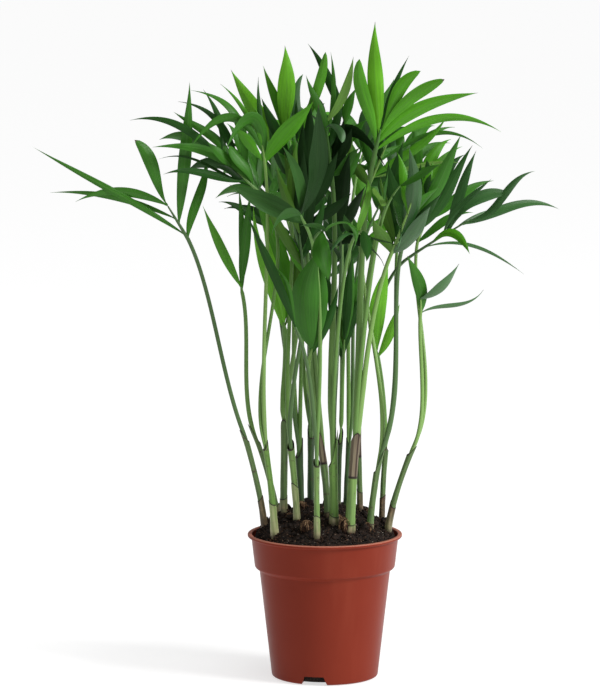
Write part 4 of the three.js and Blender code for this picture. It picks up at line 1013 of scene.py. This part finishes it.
# The angle, the tilt and the share of its length with which a leaflet finds room, and how far
# aside a stalk bows for it.
TURNS = [(0, 0, 1), (6, 0, 1), (-6, 0, 1), (0, 9, 1), (0, -9, 1), (12, 4, 1), (-12, 4, 1),
         (0, 18, 1), (0, -18, 1), (9, 13, 0.9), (-9, -13, 0.9), (0, 0, 0.75), (14, 20, 0.8),
         (-14, -20, 0.8), (20, -8, 0.7), (-20, 8, 0.7)]
BOWS = [(0, 0), (4, 0), (-4, 0), (0, 4), (0, -4), (6, 6), (-6, 6), (6, -6), (-6, -6), (11, 0),
        (-11, 0), (0, 11), (0, -11), (12, 12), (-12, 12), (12, -12), (-12, -12)]


def bezier(*knots):
    """A Bezier curve as a function of its share."""
    def at(share):
        row = list(knots)
        while len(row) > 1:
            row = [first.lerp(second, share) for first, second in zip(row, row[1:])]
        return row[0]
    return at


def heading_of(curve, share):
    """Which way the curve runs."""
    low = max(0.0, share - 0.002)
    high = min(1.0, share + 0.002)
    return (curve(high) - curve(low)).normalized()


def frond_frame(row):
    """Along the rib, its upper side, its right-hand side and the rib's curve."""
    crown, end = Vector(row["crown"]), Vector(row["end"])
    along = (end - crown).normalized()
    face = Vector(row["face"]) if "face" in row else Vector((-along.x, -along.y, RIB["skyward"]))
    upper = (face - along * face.dot(along)).normalized()
    bend = crown.lerp(end, 0.5) + upper * RIB["rise"] * (end - crown).length
    return along, upper, along.cross(upper), bezier(crown, bend, end)


def stalk_seats(name):
    """Where the stem's leaf stalks leave its mouth, side by side, each towards its own crown."""
    line = stem_curve(name)
    along = (line(1) - line(0.999)).normalized()
    mouth = line(1) + along * STALK["gap"]
    keys = [key for key in FRONDS if key.startswith(name)]

    def bearing(key):
        crown = FRONDS[key]["crown"]
        return math.atan2(crown[1] - mouth.y, crown[0] - mouth.x)

    keys.sort(key=bearing)
    step = 2 * math.pi / len(keys)
    first = math.atan2(sum(math.sin(bearing(key) - i * step) for i, key in enumerate(keys)),
                       sum(math.cos(bearing(key) - i * step) for i, key in enumerate(keys)))
    reach = STALK["seat"] if len(keys) > 1 else 0
    seats = {}
    for i, key in enumerate(keys):
        out = Vector((math.cos(first + i * step), math.sin(first + i * step), 0))
        out = (out - along * out.dot(along)).normalized()
        seats[key] = (mouth + out * reach, along, out * reach)
    return seats


def stalk_curve(start, along, rib, bow):
    """The stalk's line from the stem's mouth to where the rib begins."""
    crown = rib(0)
    pull = STALK["pull"] * (crown - start).length
    lean = Vector((bow[0], bow[1], 0))
    return bezier(start, start + along * pull + lean, crown - heading_of(rib, 0) * pull + lean, crown)


def leaf_rows(row, seed):
    """The frond's leaflets in full, each with its roll after its tone."""
    state = seed * 7919 + 17

    def sway(reach):
        nonlocal state
        state = state * 16807 % 2147483647
        return reach * (2 * state / 2147483647 - 1)

    rows = row.get("leaves")
    if not rows:
        rows = []
        for i in range(row["pairs"]):
            place = i / (row["pairs"] - 1)
            for side in (-1, 1):
                opening = RULE["crown_angle"] + (RULE["tip_angle"] - RULE["crown_angle"]) * place
                angle = side * (opening + sway(RULE["angle_sway"]))
                share = 0.82 + 0.18 * math.sin(math.pi * place) + sway(RULE["length_sway"])
                lift = RULE["lift"] + sway(RULE["lift_sway"])
                rows.append([place, angle, row["reach"] * share, lift])
    made = []
    for place, angle, length, lift, *rest in rows:
        if rest:
            width, arch, sweep, hook_up, hook_side, tone = rest
        else:
            broad = place > 0.95
            width = min(LEAF["most_tip"] if broad else LEAF["most"],
                        max(LEAF["least"], length * LEAF["broad" if broad else "slim"]))
            arch = LEAF["arch"] + sway(LEAF["arch_sway"])
            sweep, hook_up, hook_side, tone = 0, 0.02, 0, None
        roll = math.copysign(LEAF["roll"] + sway(LEAF["roll_sway"]), angle)
        made.append([place, angle, length, lift, width, arch, sweep, hook_up, hook_side, tone, roll])
    return made


def leaf_line(frame_of_frond, leaf, turn, tilt, share):
    """A leaflet's seat, its chord and length as one of TURNS leaves it, and how it bends."""
    along, upper, right, rib = frame_of_frond
    place, angle, length, lift, _, arch, sweep, hook_up, hook_side = leaf[:9]
    angle, lift = math.radians(angle + turn), math.radians(lift + tilt)
    chord = (along * math.cos(angle) + right * math.sin(angle)) * math.cos(lift) + upper * math.sin(lift)
    crest = Vector((0, 0, 1)) + upper * RIB["arch_lean"]
    crest = (crest - chord * crest.dot(chord)).normalized()
    aside = chord.cross(crest)
    length *= share
    bend = (crest * arch + aside * sweep) * 4 * length
    hook = (crest * hook_up + aside * hook_side) * 27 * length
    return rib(place * RIB["last_seat"]), chord * length, bend, hook


# A blade's half breadth for its width and at least at its seat, its half thickness, the pleats of
# a broad one, and the length of its cells.
BLADE = {"half": 0.53, "seat": 0.9, "seat_reach": 0.06, "thick": 0.16, "pleat": 0.02, "cell": 2.6}


def leaflet(shape, layers, upper, leaf, line, finish_index):
    """One leaflet: a lens-shaped blade, keeled along its midrib, with a twist and a wavy edge of
    its own. A blunt one keeps its breadth nearly to the tip. Its ink holds the share of its
    length and its age."""
    leaf_ink, leaf_uv = layers
    width, tone, roll = leaf[4], leaf[9], leaf[10]
    base, chord, bend, hook = line
    length = chord.length
    blunt = bool(tone) and tone.endswith("blunt")
    twist = dice.uniform(-24, 24)
    roll *= 0.5 if tone else 1
    droop = 0 if tone else dice.uniform(0, 0.05) * length
    wave, phase = dice.uniform(0.04, 0.14), dice.uniform(0, 6.3)
    beats = length / dice.uniform(28, 45)
    age = dice.random()
    cells = 8 if width > 6 else 6
    steps = max(16, int(length / BLADE["cell"]))
    made = bmesh.ops.create_grid(shape, x_segments=2 * cells, y_segments=steps, size=1)["verts"]
    params = {}
    for vert in made:
        side = vert.co.x
        aside = 1 + 2 * side if side <= 0 else 1 - 2 * side
        params[vert] = (aside, side <= 0, (vert.co.y + 1) / 2)
    for face in {face for vert in made for face in vert.link_faces}:
        over = sum(vert.co.x for vert in face.verts) < 0
        face.material_index = finish_index if over else finish_index + 1
        for loop in face.loops:
            aside, _, s = params[loop.vert]
            loop[leaf_uv].uv = (aside * width / 2, s * length)
        for edge in face.edges:
            if all(abs(abs(params[vert][0]) - 1) < 1e-6 for vert in edge.verts):
                edge.smooth = False
    row_of = {}
    for vert, (aside, over, s) in params.items():
        if s not in row_of:
            middle = base + chord * s + bend * s * (1 - s) + hook * s * (1 - s) * (s - 0.5)
            along = (chord + bend * (1 - 2 * s) + hook * (-3 * s * s + 3 * s - 0.5)).normalized()
            across = along.cross(upper).normalized()
            across.rotate(Matrix.Rotation(math.radians(roll + twist * s * s), 3, along))
            up = across.cross(along)
            if blunt:
                outline = math.sin(math.pi * s ** 1.6) ** 0.64 if 0 < s < 1 else 0
            else:
                outline = math.sin(math.pi * s ** 0.86) ** (0.85 + 0.35 * s) if 0 < s < 1 else 0
            seat = BLADE["seat"] * (1 - s / BLADE["seat_reach"])
            half = max(BLADE["half"] * width * outline, seat) if s < 1 else 0
            middle -= Vector((0, 0, droop)) * max(0, (s - 0.45) / 0.55) ** 2
            row_of[s] = (middle, across, up, half)
        middle, across, up, half = row_of[s]
        ripple = wave * half * math.sin(beats * 6.28 * s + phase) * aside * aside * math.sin(math.pi * s)
        ripple *= 1 if aside > 0 else -0.7
        pleat = BLADE["pleat"] * half * math.cos(aside * 3 * math.pi) if width > 10 else 0
        keel = -LEAF["fold"] * half * abs(aside) ** 1.25 * 1.25
        thick = BLADE["thick"] * (1 - aside ** 4) * (1 if over else -1)
        vert.co = middle + across * aside * half + up * (keel + pleat + ripple + thick)
        vert[leaf_ink] = (s, age, 0, 1)
    bmesh.ops.remove_doubles(shape, verts=made, dist=2e-3)


# The leaflets' colours, on their upper side and their underside. The deep tone is partly the leaves' own
# dark green and partly painted shade, for the leaflets in the crown's shaded middle.
TONES = {
    "gloss": ((0.022, 0.095, 0.017), (0.034, 0.11, 0.03)),
    "olive": ((0.050, 0.135, 0.010), (0.075, 0.17, 0.022)),
    "pale": ((0.13, 0.28, 0.045), (0.16, 0.31, 0.07)),
    # deep: partly a dark green, partly painted shade of the crown's middle.
    "deep": ((0.006, 0.024, 0.004), (0.010, 0.036, 0.007)),
    "dark": ((0.013, 0.064, 0.007), (0.026, 0.09, 0.015)),
    # grey: a greyer green that partly stands for a painted sheen, beside its own gloss.
    "grey": ((0.044, 0.135, 0.036), (0.07, 0.17, 0.06)),
    "mid": ((0.032, 0.145, 0.009), (0.055, 0.18, 0.022)),
    "bright": ((0.065, 0.26, 0.008), (0.10, 0.29, 0.025)),
    "lime": ((0.115, 0.37, 0.014), (0.16, 0.39, 0.04)),
}
# The tones that are dealt out to the leaflets of a frond without a list.
FROND_TONES = {"06a": ["mid", "dark"], "06b": ["mid", "dark"], "06c": ["dark", "mid"],
               "07a": ["mid", "dark"], "07b": ["dark", "mid"], "07c": ["mid", "bright"],
               "13a": ["mid", "bright"], "13b": ["dark", "mid"], "14b": ["mid", "grey"],
               "16b": ["bright", "mid"], "17b": ["mid", "dark"]}


def shaded(colour, factor):
    """A colour made darker or lighter."""
    return tuple(factor * part for part in colour)


def blade_skin(name, colour, roughness, specular):
    """Satin leaf skin with fine lengthwise veins, a pale midrib and a dry tip on the oldest."""
    material, tree, shader = finish(name, roughness, specular)
    in_mm = node(tree, "ShaderNodeUVMap", uv_map="Leaf").outputs["UV"]
    ink = node(tree, "ShaderNodeAttribute", attribute_name="Blade").outputs["Color"]
    inks = node(tree, "ShaderNodeSeparateColor", {"Color": ink}).outputs
    veins = patches(tree, stretched(tree, in_mm, (2.2, 0.012, 1)), 1, 2, 0.3, 0.7)
    bands = patches(tree, stretched(tree, in_mm, (0.8, 0.02, 1)), 1, 3, 0.35, 0.65)
    # The veins are paler than the blade, and less so on a dark leaf.
    strength = min(1, colour[1] / 0.14)
    pale = tuple(0.55 * part + strength * add for part, add in zip(colour, (0.055, 0.11, 0.03)))
    skin = blend_of(tree, bands, shaded(colour, 0.82), shaded(colour, 1.12))
    skin = blend_of(tree, ranged(tree, veins, 0, 1, 0, 0.16), skin, pale)
    aside = node(tree, "ShaderNodeMath", {0: part_of(tree, in_mm, "X")}, operation="ABSOLUTE")
    skin = blend_of(tree, ranged(tree, aside.outputs["Value"], 0.2, 0.5, 0.35, 0), skin, pale)
    blotches = patches(tree, object_place(tree), 45, 3, 0.35, 0.7)
    skin = blend_of(tree, ranged(tree, blotches, 0, 1, 0, 0.28), skin, shaded(colour, 0.55))
    dry = product(tree, ranged(tree, inks["Red"], 0.965, 0.985), ranged(tree, inks["Green"], 0.55, 0.6))
    tree.links.new(blend_of(tree, dry, skin, (0.06, 0.035, 0.02)), shader.inputs["Base Color"])
    relief(tree, shader, veins, 0.00012, 0.55)
    return material


# Roughness and specular of the upper sides, where they aren't satin.
GLOSS = {"gloss": (0.27, 0.55), "grey": (0.3, 0.45), "deep": (0.42, 0.07), "dark": (0.4, 0.12)}
leaf_skins = []
for tone, (upper_colour, under_colour) in TONES.items():
    roughness, specular = GLOSS.get(tone, (0.36, 0.18))
    leaf_skins.append(blade_skin(f"leaf {tone} upper", upper_colour, roughness, specular))
    leaf_skins.append(blade_skin(f"leaf {tone} under", under_colour, 0.5, 0.12))


def stalk_skin(name, low, high):
    """Smooth stalk skin, paler at its foot."""
    material, tree, shader = finish(name, 0.4, 0.25)
    wrap = node(tree, "ShaderNodeUVMap", uv_map="Leaf").outputs["UV"]
    lines = patches(tree, stretched(tree, wrap, (9, 1.5, 1)), 1, 3, 0.3, 0.7)
    colour = blend_of(tree, part_of(tree, wrap, "Y"), low, high)
    lined = blend_of(tree, ranged(tree, lines, 0, 1, 0, 0.4), colour, shaded(high, 0.72))
    tree.links.new(lined, shader.inputs["Base Color"])
    relief(tree, shader, lines, 0.0001, 0.4)
    return material


stalk_skins = {
    "green": stalk_skin("stalk green", (0.15, 0.28, 0.07), (0.10, 0.22, 0.045)),
    "pale": stalk_skin("stalk pale", (0.22, 0.37, 0.11), (0.15, 0.29, 0.06)),
    # Darker towards the rib: painted shade where the crown's leaflets shade the stalk.
    "shaded": stalk_skin("stalk with painted shade above", (0.20, 0.33, 0.10), (0.05, 0.14, 0.025)),
    "dusky": stalk_skin("stalk dusky", (0.09, 0.17, 0.055), (0.06, 0.125, 0.04)),
}
# The stalks that aren't green.
STALK_SKINS = dict.fromkeys(["01a", "15a", "14a", "08a", "07a", "07b", "13a", "06c", "10c", "05b"], "dusky")
STALK_SKINS |= dict.fromkeys(["02a", "17a", "08b", "12b", "17b", "15b"], "pale")
# These stalks get the painted shade, darker towards the rib.
STALK_SKINS |= dict.fromkeys(["12a", "10a", "09b", "04b", "09a"], "shaded")
# A stalk's radius at the mouth and at the crown, and the fronds where it isn't the usual.
USUAL_STALK = (1.9, 1.25)
STOUT = {
    "01a": (1.7, 1.5), "02b": (1.6, 1.2), "03a": (1.9, 1.5), "04a": (3.0, 2.4), "08b": (2.0, 1.6),
    "09b": (2.5, 1.6), "10a": (3.2, 1.6), "11b": (1.9, 1.5), "12a": (3.6, 1.7), "12b": (2.6, 1.5),
    "12c": (2.6, 1.5), "15a": (2.3, 1.5), "16a": (1.9, 1.5), "17a": (1.7, 1.4),
}
# How far up the stem the stalk starts, the shares of its rings that it leaves the mouth and
# reaches the crown at, its radius in the mouth for the mouth's, alone or with others, and at the
# rib's tip, its groove and how flat it is.
LIMB = {"start": 0.55, "held": 0.16, "crowned": 0.8, "alone": 0.9, "shared": 0.55, "tip": 0.55,
        "groove": 0.16, "flat": 0.94, "sides": 12, "rings": 64}
# The fronds in the middle of the clump carry small leaflets at the back too, turned on edge and
# too slight for the part's own solids: place, angle and lift.
BUSHY = ("02b", "05a", "15a", "10a", "15b", "12b", "04b", "05b", "09b", "10c", "11a")
BACK_LEAFLETS = [(0.05, -34, -60), (0.3, 30, -72), (0.5, -22, -54), (0.7, 26, -64), (0.95, -14, -58)]
# How near its tip in the solid a leaflet's tip has to come.
FITS = 0.3


def nearest(points, spot):
    """How far a spot is from the solid's corners."""
    return points.find(spot * MM)[2] / MM


def grow(key, row, seed):
    """The frond's frame, its stalk's line and its leaflets, bowed and turned as in the solid. A
    leaflet that the solid left out is left out here too."""
    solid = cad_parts[f"frond_{key}"].data
    points = kdtree.KDTree(len(solid.vertices))
    for vert in solid.vertices:
        points.insert(vert.co, vert.index)
    points.balance()
    axes = frond_frame(row)
    start, rising, _ = seats[key]
    bow_x, bow_y = row.get("bow", (0, 0))

    def bowed(bow):
        return stalk_curve(start, rising, axes[3], (bow[0] + bow_x, bow[1] + bow_y))

    def misfit(bow):
        curve = bowed(bow)
        heading = heading_of(curve, 0.6)
        side = (axes[2] - heading * axes[2].dot(heading)).normalized()
        radius = STALK["foot"] + (STALK["crown"] - STALK["foot"]) * 0.6
        return nearest(points, curve(0.6) + side.cross(heading) * radius)

    lines = []
    for leaf in leaf_rows(row, seed):
        def gap(turn):
            base, chord, _, _ = leaf_line(axes, leaf, *turn)
            return nearest(points, base + chord)
        turn = min(TURNS, key=gap)
        if gap(turn) < FITS:
            lines.append((leaf, leaf_line(axes, leaf, *turn)))
    for place, angle, lift in BACK_LEAFLETS if key in BUSHY else ():
        length = dice.uniform(36, 50)
        leaf = [place, angle, length, lift + dice.uniform(-8, 8), 0.17 * length, 0.1, 0, 0, 0,
                dice.choice(("mid", "dark")), math.copysign(dice.uniform(80, 130), angle)]
        lines.append((leaf, leaf_line(axes, leaf, 0, 0, 1)))
    return axes, bowed(min(BOWS, key=misfit)), lines


seats = {}
for name in STEMS:
    seats.update(stalk_seats(name))
grown = {key: grow(key, row, seed) for seed, (key, row) in enumerate(FRONDS.items())}


def limb(name, key, alone):
    """The placing of a stalk and its rib, for tube: it starts down in the sheath, comes out at its
    own side of the mouth, climbs to the crown and tapers to the rib's tip."""
    (_, _, right, rib), stalk, _ = grown[key]
    line, offset = stem_curve(name), seats[key][2]
    foot_radius, crown_radius = STOUT.get(key, USUAL_STALK)
    held, crowned = LIMB["held"], LIMB["crowned"]
    slim = STEMS[name][6] * LIMB["alone" if alone else "shared"]

    def place(share, turn):
        if share < held:
            climb = share / held
            low = LIMB["start"] + (1 - LIMB["start"]) * climb
            spot, heading = line(low) + offset * 0.4 * climb, heading_of(line, low)
            radius = slim
        elif share < crowned:
            climb = (share - held) / (crowned - held)
            near = max(0.0, 1 - climb / 0.3)
            spot, heading = stalk(climb) - offset * 0.6 * near, heading_of(stalk, climb)
            radius = foot_radius + (crown_radius - foot_radius) * climb ** 0.7
            radius += (slim - radius) * max(0.0, 1 - climb / 0.12) ** 1.5
        else:
            climb = (share - crowned) / (1 - crowned)
            spot, heading = rib(climb * 0.99), heading_of(rib, climb * 0.99)
            radius = crown_radius + (LIMB["tip"] - crown_radius) * climb
        side = (right - heading * right.dot(heading)).normalized()
        above = side.cross(heading)
        groove = 1 - LIMB["groove"] * max(0.0, math.sin(turn)) ** 6
        radius = 0 if share in (0, 1) else radius * groove
        return spot + side * math.cos(turn) * radius + above * math.sin(turn) * radius * LIMB["flat"]
    return place


for name in STEMS:
    keys = [key for key in FRONDS if key.startswith(name)]
    nodes = [f"frond_{key}" for key in keys]
    stalks, blades = bmesh.new(), bmesh.new()
    stalk_uv = stalks.loops.layers.uv.new("Leaf")
    layers = (blades.verts.layers.float_color.new("Blade"), blades.loops.layers.uv.new("Leaf"))
    for key in keys:
        skin_index = list(stalk_skins).index(STALK_SKINS.get(key, "green"))
        tube(stalks, LIMB["sides"], LIMB["rings"], limb(name, key, len(keys) == 1), skin_index, stalk_uv)
        (_, upper, _, _), _, leaves = grown[key]
        for leaf, line in leaves:
            tone = leaf[9].split()[0] if leaf[9] else dice.choice(FROND_TONES[key])
            leaflet(blades, layers, upper, leaf, line, 2 * list(TONES).index(tone))
    bmesh.ops.recalc_face_normals(stalks, faces=stalks.faces)
    bmesh.ops.recalc_face_normals(blades, faces=blades.faces)
    piece_of(f"stalks_{name}", stalks, nodes, list(stalk_skins.values()))
    piece_of(f"leaflets_{name}", blades, nodes, leaf_skins)

# ---- Studio ----------------------------------------------------------------------------------
# A pale floor that glows faintly, under soft light: a broad lamp from the right and the front, a
# high sun and a weak white sky.

# The floor's half breadth, how far below the pot it lies, its grey and its glow.
FLOOR = {"size": 30, "drop": 0.0005, "grey": 0.45, "glow": 0.66}
floor_shape = bmesh.new()
bmesh.ops.create_grid(floor_shape, x_segments=1, y_segments=1, size=FLOOR["size"])
bmesh.ops.translate(floor_shape, verts=floor_shape.verts, vec=(0, 0, -FLOOR["drop"]))
floor_mesh = bpy.data.meshes.new("floor")
floor_shape.to_mesh(floor_mesh)
floor_shape.free()
floor_skin, _, shader = finish("floor", 0.9, 0.0)
shader.inputs["Base Color"].default_value = (FLOOR["grey"], FLOOR["grey"], FLOOR["grey"], 1)
shader.inputs["Emission Color"].default_value = (1, 1, 1, 1)
shader.inputs["Emission Strength"].default_value = FLOOR["glow"]
floor_mesh.materials.append(floor_skin)
floor = bpy.data.objects.new("floor", floor_mesh)
bpy.context.collection.objects.link(floor)

# Each light's kind, its place, its breadth in metres or as an angle, and its power.
LIGHTS = {
    "key": ("AREA", (1.9, -0.95, 1.45), 0.8, 62),
    "top": ("SUN", (0.15, -0.2, 2.2), 0.7, 1.5),
}
LIT = Vector((0, 0, 0.25))
SKY = 0.2
for light_name, (kind, spot, size, power) in LIGHTS.items():
    lamp = bpy.data.lights.new(light_name, kind)
    lamp.energy = power
    if kind == "SUN":
        lamp.angle = size
    else:
        lamp.size = size
    light = bpy.data.objects.new(light_name, lamp)
    light.location = spot
    light.rotation_euler = (LIT - Vector(spot)).to_track_quat("-Z", "Y").to_euler()
    bpy.context.collection.objects.link(light)
world = bpy.data.worlds.new("studio")
bpy.context.scene.world = world
world.use_nodes = True
sky = world.node_tree.nodes["Background"]
sky.inputs["Color"].default_value = (1, 1, 1, 1)
sky.inputs["Strength"].default_value = SKY
bpy.context.scene.view_settings.view_transform = "Standard"
